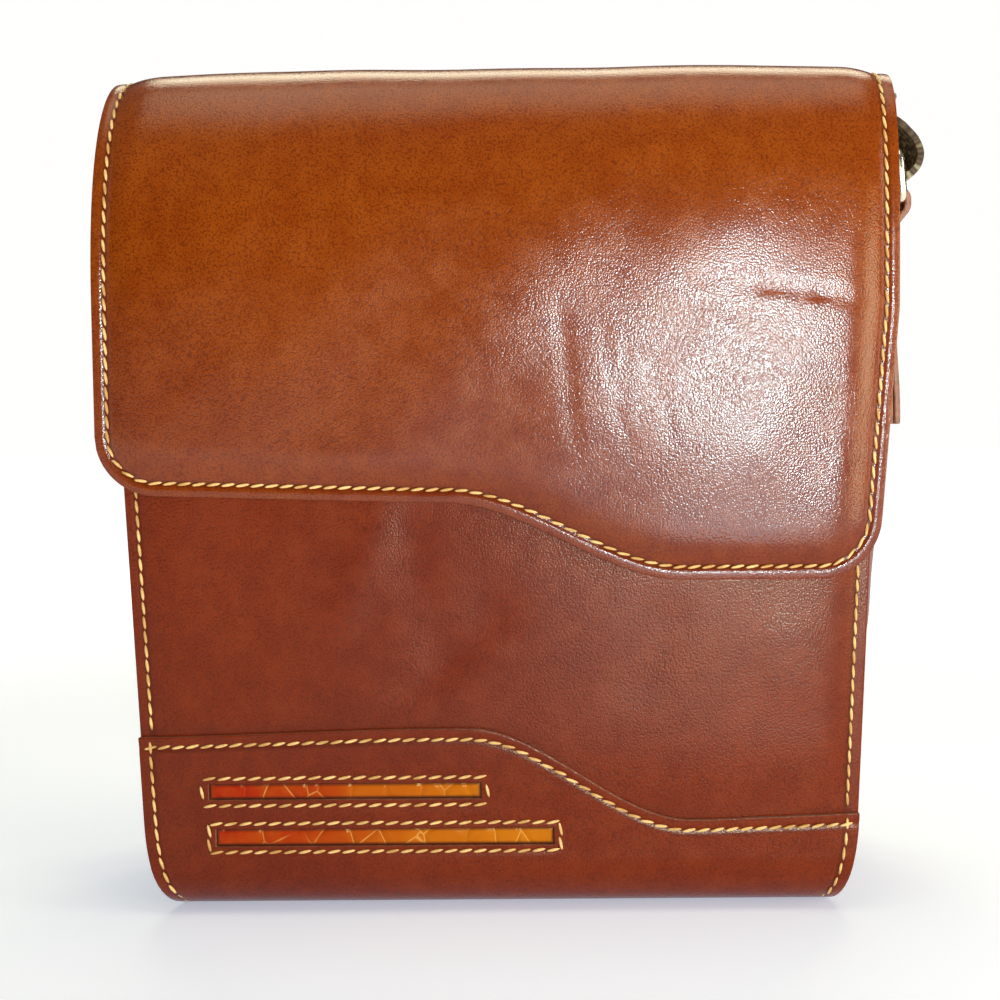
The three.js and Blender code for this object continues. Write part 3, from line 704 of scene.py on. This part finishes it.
def flap_outline(share):
    """Corners (y, z) of the outer face at a share of the half width, from the lower edge to the tail."""
    points = [(-FLAP_FRONT, z) for z in (flap_edge(share), ROLL_FOOT)]
    for angle in steps(48, 0, math.pi / 2)[1:]:
        c, s = rounded(angle, mix(ROLL_POWER_LEFT, ROLL_POWER_RIGHT, (share + 1) / 2))
        points.append((-FLAP_FRONT * c, ROLL_FOOT + ROLL_FRONT * s))
    for angle in steps(32, math.pi / 2, 0)[1:]:
        c, s = rounded(angle, ROLL_POWER_BACK)
        points.append((FLAP_BEHIND * c, FLAP_TOP - ROLL_BACK * (1 - s)))
    return points + [(FLAP_BEHIND, TAIL_END)]


def chain_length(points):
    return sum(math.dist(a, b) for a, b in zip(points, points[1:]))


def walk(points, goals):
    """The link of a chain and the share of that link at each of the rising distances in goals."""
    reach, k = [0.0], 0
    for a, b in zip(points, points[1:]):
        reach.append(reach[-1] + math.dist(a, b))
    for goal in goals:
        while k + 2 < len(reach) and reach[k + 1] < goal:
            k += 1
        yield k, (goal - reach[k]) / max(reach[k + 1] - reach[k], 1e-9)


def along(points, goals):
    """Point and direction of a chain at each of the rising distances in goals."""
    for k, t in walk(points, goals):
        a, b = Vector(points[k]), Vector(points[k + 1])
        yield a.lerp(b, t), (b - a).normalized()


# The front outline as seen from the front, from the left side round the lower edge to the right side.
front_outline = [(-flap_half_width(-1, z), z) for z in steps(30, ROLL_FOOT + 20, flap_edge(-1))]
for share in [math.sin(a) for a in steps(400, -math.pi / 2, math.pi / 2)]:
    front_outline.append((share * flap_half_width(share, flap_edge(share)), flap_edge(share)))
front_outline += [(flap_half_width(1, z), z) for z in steps(30, flap_edge(1), ROLL_FOOT + 20)]
outline_tree = KDTree(3 * len(front_outline))
for k, (a, b) in enumerate(zip(front_outline, front_outline[1:])):
    for t in steps(3)[:-1]:
        outline_tree.insert((mix(a[0], b[0], t), 0, mix(a[1], b[1], t)), k)
outline_tree.balance()
print("front outline is", round(chain_length(front_outline)), "mm long")


# %% Creases and padding of the flap
FLAP_PAD, FLAP_SAG, FLAP_GROOVE = 2.3, 1.1, 0.45
TAIL_SEAMS, TAIL_GROOVE = (4, 22), 0.3
CREASES = [  # from, to, depth, width
    ((82, 197.0), (99, 194.6), 0.34, 1.4), ((99, 194.6), (114, 191.4), 0.34, 1.4),
    ((60, 199), (84, 197), 0.15, 1.5), ((33, 184), (36, 166), 0.12, 1.2), ((40, 180), (38, 158), 0.1, 1.4),
    ((36, 160), (42, 147), 0.12, 1.1), ((108, 148), (113, 139), 0.18, 1.2),
    ((111, 150), (114, 143), 0.14, 1.0), ((20, 190), (24, 150), 0.12, 2.2),
    ((-100, 220), (-84, 214), 0.12, 1.6), ((60, 236), (88, 239), 0.1, 1.8), ((48, 176), (54, 150), 0.1, 1.8),
]


def sag(x, z):
    """Slow unevenness of a soft pad."""
    return 0.22 * math.sin(x / 19 + 1.3) * math.sin(z / 23 + 0.4) + 0.12 * math.sin(x / 8.3 - z / 11)


def flap_rise(x, y, z, tail):
    """Height of the outer face over the plain outline, and the distance from the cut edge."""
    side = flap_half_width(x, z) - abs(x)
    edge = min(side, tail)
    if y < 0 and z < ROLL_FOOT + 15:
        edge = min(edge, outline_tree.find((x, 0, z))[2])
    behind = 1 - smooth(y / HALF_DEPTH) if y > 0 else 1
    rise = FLAP_PAD * puff(edge) * behind + 0.2 * math.sin(math.pi * clamp(edge / MARGIN))
    rise -= FLAP_GROOVE * dimple(edge) + TAIL_GROOVE * sum(dimple(tail, at) for at in TAIL_SEAMS)
    if y < 0:
        inner = smooth((edge - MARGIN) / 14)
        rise += inner * (sag(x, z) - creased(CREASES, x, z)) + FLAP_SAG * smooth((edge - MARGIN) / 48)
    return rise, edge


# %% Flap
NOMINAL_LENGTH, ENDS = 250.0, 22.0


def spread(row, length):
    """Distance of a row along the flap: near both ends rows keep their spacing, between they spread."""
    if row < ENDS:
        return row
    if row > NOMINAL_LENGTH - ENDS:
        return length - (NOMINAL_LENGTH - row)
    return ENDS + (row - ENDS) * (length - 2 * ENDS) / (NOMINAL_LENGTH - 2 * ENDS)


def flap_column(share, rows):
    """Points of the padded face, with their distance from the edge, at a share of the half width."""
    outline = flap_outline(share)
    length = chain_length(outline)
    distances = [spread(row, length) for row in rows]
    column = []
    for distance, ((y, z), (step_y, step_z)) in zip(distances, along(outline, distances)):
        x = share * flap_half_width(share, z)
        rise, edge = flap_rise(x, y, z, length - distance)
        column.append(((x, y - step_z * rise, z + step_y * rise), edge))
    return column


def make_flap():
    shares = [d / FLAP_HALF_WIDTH - 1 for d in ladder(2 * FLAP_HALF_WIDTH, 0.45, 1.9, 1.12)]
    rows = ladder(NOMINAL_LENGTH, 0.5, 1.9, 1.12)
    columns = [flap_column(share, rows) for share in shares]
    mesh = bent_grid(columns, range(len(rows)), lambda column, k: column[k])
    surfaces["flap"] = BVHTree.FromBMesh(mesh)
    piece = make_piece("padded_flap", mesh, sheet_of(flap_leather), ["flap"], FLAP_WALL,
                       rounding=0.7, segments=3)
    return piece


flap = make_flap()

# %% [markdown]
# ## Tabs and rings
# On either side a narrow tab is folded over the lower bar of a ring and sewn down the side wall. The ring
# is one bent and closed wire, so a curve with a round profile makes it in one go.

# %% Tabs
STRAP_WIDTH, STRAP_WALL = 20.0, 2.6
WIRE, RING_BAR, RING_HEIGHT = 1.8, 228.0, 14.6
RING_CORNER, RING_LEAN, RING_ROOM = 3.4, 1.3, 1.5
TAB_WIDTH, TAB_TOP = 18, RING_BAR - 9
TAB_BOTTOM = TAB_TOP - 64.6


def ring_x(side):
    return gusset_face(side, 0, RING_BAR) + GAP + TAB_WALL + GAP + WIRE


def make_tab(side):
    fold = WIRE + GAP + TAB_WALL / 2
    heights = steps(28, TAB_BOTTOM, TAB_TOP)
    inner = {z: gusset_face(side, 0, z) + GAP + TAB_WALL / 2 for z in heights}
    outer = {z: inner[z] + GAP + TAB_WALL for z in heights}
    path = [(inner[z], z) for z in heights]
    for a in steps(20, math.pi, 0):
        path.append((ring_x(side) + fold * math.cos(a), RING_BAR + fold * math.sin(a)))
    neck = RING_BAR - WIRE
    for t in steps(8)[:-1]:
        path.append((mix(ring_x(side) + fold, outer[TAB_TOP], smooth(t)), mix(neck, TAB_TOP, t)))
    path += [(outer[z], z) for z in reversed(heights)]

    def place(y, row):
        x, z = row
        return (SIDEWAYS[side] * x, y - TAB_WIDTH / 2, z), min(y, TAB_WIDTH - y)

    mesh = bent_grid(ladder(TAB_WIDTH, 0.6, 1.6, 1.2), path, place)
    if SIDEWAYS[side] < 0:
        bmesh.ops.reverse_faces(mesh, faces=mesh.faces)
    surfaces["tab_" + side] = BVHTree.FromBMesh(mesh)
    return make_piece("tab_leather_" + side, mesh, sheet_of(tab_leather),
                      ["tab_" + side], TAB_WALL, offset=0.0)


tabs = [make_tab(side) for side in ("left", "right")]

# %% [markdown]
# The rings are pale metal between silver and gold, polished but handled, so their gloss varies a little.

# %% Rings
def ring_metal():
    finish = Finish("ring_metal", Metallic=1.0)
    rubbed = finish.noise(260, 4, 0.65)
    colour = finish.blend(rubbed, (0.78, 0.70, 0.54), (0.9, 0.86, 0.74))
    finish.set(Base_Color=colour, Roughness=rubbed.rise(0.35, 0.75) * 0.18 + 0.16)
    finish.relief(rubbed, 0.00003, 0.4)
    return finish.material


metal = ring_metal()


def make_ring(side):
    half_length = STRAP_WIDTH / 2 + RING_ROOM + WIRE
    high, low = RING_HEIGHT - RING_CORNER, RING_CORNER
    points = []
    for sign, centre, turn in ((1, high, 0), (-1, high, 0.5), (-1, low, 1), (1, low, 1.5)):
        for a in steps(8, turn * math.pi, (turn + 0.5) * math.pi):
            height = centre + RING_CORNER * math.sin(a)
            x = ring_x(side) - RING_LEAN * height / RING_HEIGHT
            y = sign * (half_length - RING_CORNER) + RING_CORNER * math.cos(a)
            points.append((SIDEWAYS[side] * x * MM, y * MM, (RING_BAR + height) * MM, 1.0))
    wire = bpy.data.curves.new("ring_wire_" + side, "CURVE")
    wire.dimensions, wire.bevel_depth, wire.bevel_resolution = "3D", WIRE * MM, 5
    spline = wire.splines.new("POLY")
    spline.points.add(len(points) - 1)
    for point, place in zip(spline.points, points):
        point.co = place
    spline.use_cyclic_u = spline.use_smooth = True
    wire.materials.append(metal)
    piece = add_object("ring_wire_" + side, wire)
    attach(piece, "root")
    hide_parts("ring_" + side)
    print(piece.name, len(points), "points")
    return piece


rings = [make_ring(side) for side in ("left", "right")]

# %% [markdown]
# ## Strap
# The strap is coarse flat webbing, 20 wide. It goes round the upper bar of one ring, back over itself for
# a sewn lap, and on behind the bag, where it falls to the floor and lies in a loop up to the other ring.
# The route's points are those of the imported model. A grid follows the route with two rows to each weft
# thread and a column to each warp thread, and its corners go up and down like the threads of a plain weave.

# %% Route of the strap
STRAP_STEP = 0.9
HANG, LOOP_FOOT, LOOP_REACH = 27, 57, 165
LAP_START, LAP_END, LAP_TURN = 12, 38, 8
LOOP = [  # across, up, slack, sag, round the ring's upper bar
    (-1.02, 1, 0, 0), (-1.02, 0, 0, 0), (-0.85, -0.8, 0.08, 0.48), (0, -1.32, 0.74, 0.85),
    (0.8, -1, 1.22, 0.32), (1.03, 0, 1.38, 0), (1, 1, 0.95, -0.32), (0.53, 1.96, 0.32, -0.64),
]
FALL = [  # out, back, up, then the direction of the strap's width
    (0.08, 0.03, 1.039, 0, 0.97, -0.2), (0.1, 0.12, 1.057, -0.1, 0.75, -0.65),
    (0.17, 0.27, 1.064, -0.2, 0.25, -0.95), (0.26, 0.44, 1.058, -0.28, -0.25, -0.93),
    (0.33, 0.58, 1.036, -0.36, -0.6, -0.7), (0.36, 0.69, 1.004, -0.45, -0.8, -0.4),
    (0.3, 0.79, 0.95, -0.6, -0.78, -0.15), (0.14, 0.89, 0.872, -0.78, -0.6, 0),
    (-0.12, 1.0, 0.76, -0.92, -0.35, 0), (-0.47, 1.07, 0.615, -1, -0.1, 0), (-0.8, 1.08, 0.45, -1, 0, 0),
    (-1.05, 1.06, 0.285, -1, 0, 0), (-1.17, 1.07, 0.155, -1, 0, 0), (-1.19, 1.13, 0.08, -1, 0, 0),
    (-1.2, 1.26, 0.034, -1, 0, 0), (-1.2, 1.42, 0.0125, -1, 0, 0),
]


def curve_point(points, t, even=False):
    """Point of a smooth curve through points, at t from 0 to 1."""
    place = t * (len(points) - 1)
    k = min(int(place), len(points) - 2)
    t = place - k
    b, c = points[k], points[k + 1]
    a = points[k - 1] if k else b * 2 - c
    d = points[k + 2] if k + 2 < len(points) else c * 2 - b
    if even:
        start, end = (c - a) / 2, (d - b) / 2
    else:
        ab, bc, cd = (max((q - p).length, 1e-6) ** 0.5 for p, q in ((a, b), (b, c), (c, d)))
        start = ((b - a) / ab - (c - a) / (ab + bc) + (c - b) / bc) * bc
        end = ((c - b) / bc - (d - b) / (bc + cd) + (d - c) / cd) * bc
    bend = c * 3 - b * 3 - start * 2 - end
    return b + start * t + bend * t ** 2 + (b * 2 - c * 2 + start + end) * t ** 3


def resample(frames, step):
    """Frames (point, width direction) at even steps along a route."""
    points, widths = zip(*frames)
    fine = steps(24 * (len(points) - 1))
    trail = [curve_point(points, t) for t in fine]
    length = chain_length(trail)
    goals = steps(round(length / step), 0, length)
    spots = [mix(fine[k], fine[k + 1], t) for k, t in walk(trail, goals)]
    return [(curve_point(points, t), curve_point(widths, t, even=True)) for t in spots]


def floor_loop():
    """Half of the loop on the floor: flat where it lands, on its edge where it turns."""
    frames = []
    for turn in steps(14, 0.02, 0.5):
        angle, roll = math.pi * turn, 0.5 * math.pi * smooth(turn / 0.34)
        c, s = max(math.cos(angle), 0), math.sin(angle)
        point = Vector(((FLAP_HALF_WIDTH - 1.2 * STRAP_WIDTH) * c ** 0.7,
                        HALF_DEPTH + LOOP_FOOT + LOOP_REACH * s,
                        (STRAP_WIDTH * math.sin(roll) + STRAP_WALL * math.cos(roll)) / 2 + GAP))
        inward = Vector((-math.cos(angle), -s, 0))
        frames.append((point, inward * math.cos(roll) + Vector((0, 0, math.sin(roll)))))
    return frames


def strap_half(side, slackness):
    """From the lapped end at one ring to the middle of the loop on the floor, as if on the right."""
    top = RING_BAR + RING_HEIGHT
    bar = Vector((ring_x(side) - RING_LEAN, 0, top))
    touching = WIRE + GAP + STRAP_WALL / 2
    loop = []
    for out, up, slack, low in reversed(LOOP):
        offset = Vector((out + slackness * slack, 0, up - slackness * low))
        loop.append((bar + touching * offset, Vector((0, 1, 0))))
    fall = []
    for out, back, up, *width in FALL:
        point = Vector((FLAP_HALF_WIDTH + out * STRAP_WIDTH, back * (HALF_DEPTH + HANG), up * top))
        fall.append((point, Vector(width)))
    main = resample([*loop[-2:], *fall, *floor_loop()], STRAP_STEP)
    lap = []
    for k in range(round(LAP_START / STRAP_STEP), round(LAP_END / STRAP_STEP) + 1):
        point, wide = main[k]
        ahead = (main[k + 1][0] - main[k - 1][0]).normalized()
        lap.append((point + wide.cross(ahead).normalized() * (STRAP_WALL + GAP), wide))
    lap.reverse()
    turned = resample([lap[-LAP_TURN], lap[-1], *loop[:-1]], STRAP_STEP)
    return [*lap[:-LAP_TURN], *turned[:-1], *main]


def mirrored(frame):
    return tuple(Vector((-v.x, v.y, v.z)) for v in frame)


right_half = strap_half("right", 1)
left_half = [mirrored(f) for f in strap_half("left", 0)]
route = right_half + left_half[::-1][1:]
print("strap is", round(chain_length([point for point, _ in route])), "mm long, laps included")

# %% [markdown]
# The threads are dark brown with flecks of olive and beige. The finish reads the strap's own map, whose
# units are threads, so each cell of the map is one crossing: a White Noise on the whole number of the cell
# gives each crossing its own shade.

# %% Webbing
def webbing_finish():
    finish = Finish("webbing", Specular_IOR_Level=0.25)
    threads = finish.node("ShaderNodeUVMap", {"uv_map": "threads"})
    crossing, within = threads.math("FLOOR"), threads.math("FRACTION")
    settings = {"noise_dimensions": "2D"}
    chance = finish.node("ShaderNodeTexWhiteNoise", settings, {"Vector": crossing}, output="Value")
    u, v = finish.part(within, 0) - 0.5, finish.part(within, 1) - 0.5
    hollow_depth_and_shade = u * u + v * v
    fibre = finish.noise(1500, 3, 0.7)
    colour = finish.blend(fibre, (0.08, 0.045, 0.026), (0.22, 0.135, 0.08))
    colour = finish.blend((chance > 0.55) * 0.8, colour, (0.32, 0.25, 0.12))
    colour = finish.blend((chance > 0.8) * 0.7, colour, (0.56, 0.45, 0.29))
    # Painted shade: each thread crossing darkens towards its corners, in the hollows between the threads.
    colour = finish.blend(hollow_depth_and_shade.rise(0.12, 0.42) * 0.75, colour, (0.014, 0.008, 0.005))
    finish.set(Base_Color=colour, Roughness=fibre * 0.15 + 0.72)
    finish.relief(fibre * 0.5 - hollow_depth_and_shade, 0.00022, 0.8)
    return finish.material


webbing = webbing_finish()
WARPS, WEAVE = 14, 0.2


def make_strap():
    frames = []
    for k, (point, across) in enumerate(route):
        before, after = route[max(k - 1, 0)][0], route[min(k + 1, len(route) - 1)][0]
        ahead = (after - before).normalized()
        side = (across - ahead * across.dot(ahead)).normalized()
        frames.append((k, point, side, ahead.cross(side)))

    def place(column, row):
        k, point, side, out = row
        edge = column in (0, WARPS)
        width = STRAP_WIDTH / 2 - (0 if edge and k % 2 else WEAVE)
        lift = 0 if edge else WEAVE * (-1) ** (column + k // 2)
        return point + side * (2 * column / WARPS - 1) * width + out * lift, 5

    mesh = bent_grid(range(WARPS + 1), frames, place)
    threads = mesh.loops.layers.uv.new("threads")
    mesh.verts.index_update()
    per_row = WARPS + 1
    for face in mesh.faces:
        for loop in face.loops:
            loop[threads].uv = (loop.vert.index // per_row / 2, loop.vert.index % per_row)
    return make_piece("woven_strap", mesh, [webbing], ["strap"], STRAP_WALL - 0.5,
                      offset=0.0, even=False)


strap = make_strap()

# %% [markdown]
# ## Stitches
# Saddle stitches in thick golden thread run round every sewn edge, one every four and a half millimetres,
# each leaning a little out of line, so that their ends pass each other like the turns of a rope. Each is
# one small stretched sphere half sunk in the leather. A path is drawn near the seam and every stitch is
# set on the nearest point of the leather, so the rows follow the padding.

# %% Thread and the tool that sews
def thread_finish():
    finish = Finish("waxed_thread", Specular_IOR_Level=0.4)
    tone = finish.noise(160).rise(0.32, 0.66)
    twist = finish.noise(1900)
    colour = finish.blend(tone, (0.52, 0.26, 0.07), (0.82, 0.50, 0.19))
    colour = finish.blend(twist.rise(0.5, 0.8) * 0.4, colour, (0.33, 0.15, 0.04))
    finish.set(Base_Color=colour, Roughness=twist * 0.2 + 0.45)
    finish.relief(twist, 0.00012, 0.6)
    return finish.material


thread = thread_finish()
PITCH, STITCH, THREAD = 4.5, 4.5, 1.0
LEAN, SIDE_LEAN = 12, 6
PROUD, PROUD_BELOW = 0.28, -0.4


def sew(mesh, surface, path, lean=LEAN, pitch=PITCH, length=STITCH, width=THREAD):
    """Adds stitches to mesh along path (mm), laid on a surface, and gives their number."""
    total = chain_length(path)
    count = max(int(total / pitch), 1)
    for point, ahead in along(path, [(n + 0.5) * total / count for n in range(count)]):
        spot, out, _, _ = surfaces[surface].find_nearest(point * MM)
        ahead = (ahead - out * ahead.dot(out)).normalized()
        ahead = Matrix.Rotation(math.radians(lean), 3, out) @ ahead
        axes = Matrix((ahead, out.cross(ahead), out)).transposed().to_4x4()
        size = Matrix.Diagonal((length / 2 * MM, width / 2 * MM, width / 2 * MM, 1))
        lift = Matrix.Translation(spot + out * (PROUD if out.z > -0.7 else PROUD_BELOW) * MM)
        bmesh.ops.create_uvsphere(mesh, u_segments=8, v_segments=6, radius=1, matrix=lift @ axes @ size)
    return count


def stitched(where, seams, **size):
    """A mesh with the stitches of several seams, each given as a surface, a path and maybe a lean."""
    mesh = bmesh.new()
    count = sum(sew(mesh, *seam, **size) for seam in seams)
    print(count, "stitches on the", where)
    return mesh


# %% Stitches round the flap
TAIL_SEAM_HALF, SEAM_START = 116, 5


def flap_side_path(sign):
    outline = flap_outline(sign)
    goals = steps(120, ROLL_FOOT - flap_edge(sign), chain_length(outline) - SEAM_START)
    return [(sign * (flap_half_width(sign, z) - MARGIN), y, z) for (y, z), _ in along(outline, goals)]


def flap_seam_path():
    path = flap_side_path(-1)[::-1]
    lower = [p for p in front_outline if p[1] < ROLL_FOOT]
    for before, here, after in zip(lower, lower[1:], lower[2:]):
        dx, dz = after[0] - before[0], after[1] - before[1]
        size = math.hypot(dx, dz)
        point = (here[0] - dz / size * MARGIN, -FLAP_FRONT, here[1] + dx / size * MARGIN)
        if math.dist(path[-1], point) > 0.5:
            path.append(point)
    return path + flap_side_path(1)


flap_paths = [flap_seam_path()]
for up in TAIL_SEAMS:
    flap_paths.append([(x, FLAP_BEHIND, TAIL_END + up) for x in (TAIL_SEAM_HALF, -TAIL_SEAM_HALF)])
flap_thread = stitched("flap", [("flap", path) for path in flap_paths])
make_piece("flap_stitches", flap_thread, [thread], [])


# %% Stitches on the body and the overlay
OVERLAY_FACE = HALF_DEPTH + GAP + OVERLAY_WALL
FRAME_SIDE, FRAME_UP = 1.9, 1.7


def side_path(sign, rows):
    return [(sign * (body_half_width(z) - SIDE_SEAM), y, z) for y, z, *_ in rows]


body_seams, overlay_seams = [], []
for sign in (-1, 1):
    edge = wave_edge(OVERLAY_EDGE, sign * 112)
    front = [(-front_depth(z), z) for z in steps(60, edge + 2, BODY_TOP - 4)]
    back = [(HALF_DEPTH, z) for z in steps(60, BACK_TOP - 3, BACK_EDGE + 2)]
    body_seams += [("body", side_path(sign, rows), SIDE_LEAN) for rows in (front, back)]
    wrapped = wrap_rows(steps(20, FRONT_FOOT, edge - 1), steps(6, BACK_EDGE - 2, FRONT_FOOT))
    overlay_seams.append(("overlay", side_path(sign, wrapped), SIDE_LEAN))
xs = steps(140, -112.5, 111)
upper_edge = [(x, -OVERLAY_FACE, wave_edge(OVERLAY_EDGE, x) - OVERLAY_SEAM) for x in xs]
lower_edge = [(x, OVERLAY_FACE, BACK_EDGE - OVERLAY_SEAM) for x in reversed(xs)]
overlay_seams += [("overlay", upper_edge), ("overlay", lower_edge)]
for w in WINDOWS.values():
    left, right = w["left"] - FRAME_SIDE, w["right"] + FRAME_SIDE
    bottom, top = w["bottom"] - FRAME_UP, w["top"] + FRAME_UP
    around = ((left, bottom), (right, bottom), (right, top), (left, top), (left, bottom))
    corners = [(x, -OVERLAY_FACE - 0.6, z) for x, z in around]
    overlay_seams += [("overlay", pair) for pair in zip(corners, corners[1:])]
make_piece("body_stitches", stitched("body", body_seams), [thread], [])
make_piece("overlay_stitches", stitched("overlay", overlay_seams), [thread], [])

# %% Stitches on the tabs
TAB_SEAM_HALF, TAB_SEAM_END = 6.6, 2.6


def tab_seams(side):
    def run(y, heights):
        faces = [gusset_face(side, 0, z) + 2 * GAP + 1.5 * TAB_WALL for z in heights]
        return [(SIDEWAYS[side] * x, y, z) for x, z in zip(faces, heights)]

    heights = steps(30, TAB_TOP, TAB_BOTTOM + TAB_SEAM_END)
    down, up = run(-TAB_SEAM_HALF, heights), run(TAB_SEAM_HALF, heights[::-1])
    return [("tab_" + side, path) for path in (down, [down[-1], up[0]], up, [up[-1], down[0]])]


tab_thread = stitched("tabs", tab_seams("left") + tab_seams("right"), pitch=3.6, length=2.7, width=0.8)
for corner in tab_thread.verts:
    corner.co.x += math.copysign(TAB_WALL / 2 * MM, corner.co.x)
make_piece("tab_stitches", tab_thread, [thread], [])

# %% [markdown]
# ## Studio
# The bag stands on a plain pale floor that glows with painted light, faintly near the bag and white
# further off, and its glow also lifts the bag from below. The light is that of a small product
# studio: soft boxes above and behind that put a band of light along the top of the flap, one on either
# side, and a small window-like light in front at the right, which the padded leather mirrors as a broad
# patch with sparks of grain. A larger window further round and a low one lift the lower front.

# %% Floor
def make_floor():
    mesh = bmesh.new()
    bmesh.ops.create_circle(mesh, cap_ends=True, segments=96, radius=9)
    finish = Finish("pale_floor", Specular_IOR_Level=0.1, Roughness=0.9, Emission_Strength=1.0)
    colour = finish.blend(finish.noise(3), (0.88, 0.90, 0.93), (0.90, 0.92, 0.95))
    # Painted light: the floor glows, faintly and bluish near the bag and white further off, and its glow
    # also lights the bag from below.
    far = finish.node("ShaderNodeVectorMath", {"operation": "LENGTH"}, {0: finish.place}, output=1)
    glow = finish.blend(far.rise(0.3, 1.2), (0.24, 0.27, 0.35), (0.93, 0.93, 0.96))
    finish.set(Base_Color=colour, Emission_Color=glow)
    data = bpy.data.meshes.new("pale_floor")
    mesh.to_mesh(data)
    mesh.free()
    data.materials.append(finish.material)
    floor = add_object("pale_floor", data)


make_floor()


# %% Lights
LIGHTS = {  # place, what it points at, size, power in watts, colour
    "overhead_box": ((0.0, -0.15, 1.25), (0, 0, 0.2), (1.1, 0.7), 5.0, (1.0, 0.92, 0.68)),
    "front_window": ((0.2, -1.04, 0.22), (0.06, 0, 0.17), (0.10, 0.09), 7.6, (0.78, 0.97, 1.0)),
    "low_window": ((0.13, -0.52, 0.015), (0.08, 0, 0.08), (0.14, 0.03), 0.22, (0.9, 0.97, 1.0)),
    "side_window": ((0.72, -0.80, 0.22), (0.1, 0, 0.15), (0.25, 0.4), 3.4, (1.0, 0.85, 0.55)),
    "left_box": ((-1.2, -0.25, 0.4), (0, 0, 0.15), (0.4, 0.8), 0.4, (1, 1, 1)),
    "right_box": ((1.2, -0.35, 0.4), (0, 0, 0.15), (0.4, 0.8), 5.0, (1.0, 0.9, 0.75)),
    "back_box": ((0.0, 0.6, 1.1), (0, 0, 0.25), (1.0, 0.4), 6.5, (1.0, 0.92, 0.66)),
}


def add_light(name, place, aim, size, power, colour):
    data = bpy.data.lights.new(name, "AREA")
    data.shape, data.size, data.size_y, data.energy = "RECTANGLE", *size, power
    data.color = colour
    light = add_object(name, data)
    light.location = place
    light.visible_camera = False
    light.rotation_euler = (Vector(aim) - Vector(place)).to_track_quat("-Z", "Y").to_euler()


for name, setting in LIGHTS.items():
    add_light(name, *setting)


def make_ceiling(dim, glow, backdrop):
    """A world that shines from above, and looks evenly white behind the bag."""
    world = bpy.data.worlds.new("bright_ceiling")
    sky = Network(world)
    up = sky.part(sky.node("ShaderNodeTexCoord", output="Generated"), 2).rise(0.2, 0.85)
    seen = sky.node("ShaderNodeLightPath", output="Is Camera Ray")
    background = sky.tree.nodes["Background"]
    sky.put(background.inputs["Strength"], seen * backdrop + (1 - seen) * (up * (glow - dim) + dim))
    background.inputs["Color"].default_value = (1.0, 0.995, 0.985, 1)
    return world


scene = bpy.context.scene
scene.world = make_ceiling(0.02, 0.15, 1.0)
scene.view_settings.view_transform = "Standard"
print(len(LIGHTS), "lights")

# %% Camera
camera_data = bpy.data.cameras.new("camera")
camera_data.lens, camera_data.sensor_width = 50.4, 36
camera_data.shift_x, camera_data.shift_y = -0.102, 0.002
camera = add_object("camera", camera_data)
turned = Matrix.Rotation(math.radians(87), 4, "X") @ Matrix.Rotation(math.radians(-0.4), 4, "Z")
camera.matrix_world = Matrix.Translation((0.0323, -0.472, 0.1535)) @ turned
scene.camera = camera
print("camera at", [round(v, 3) for v in camera.location])
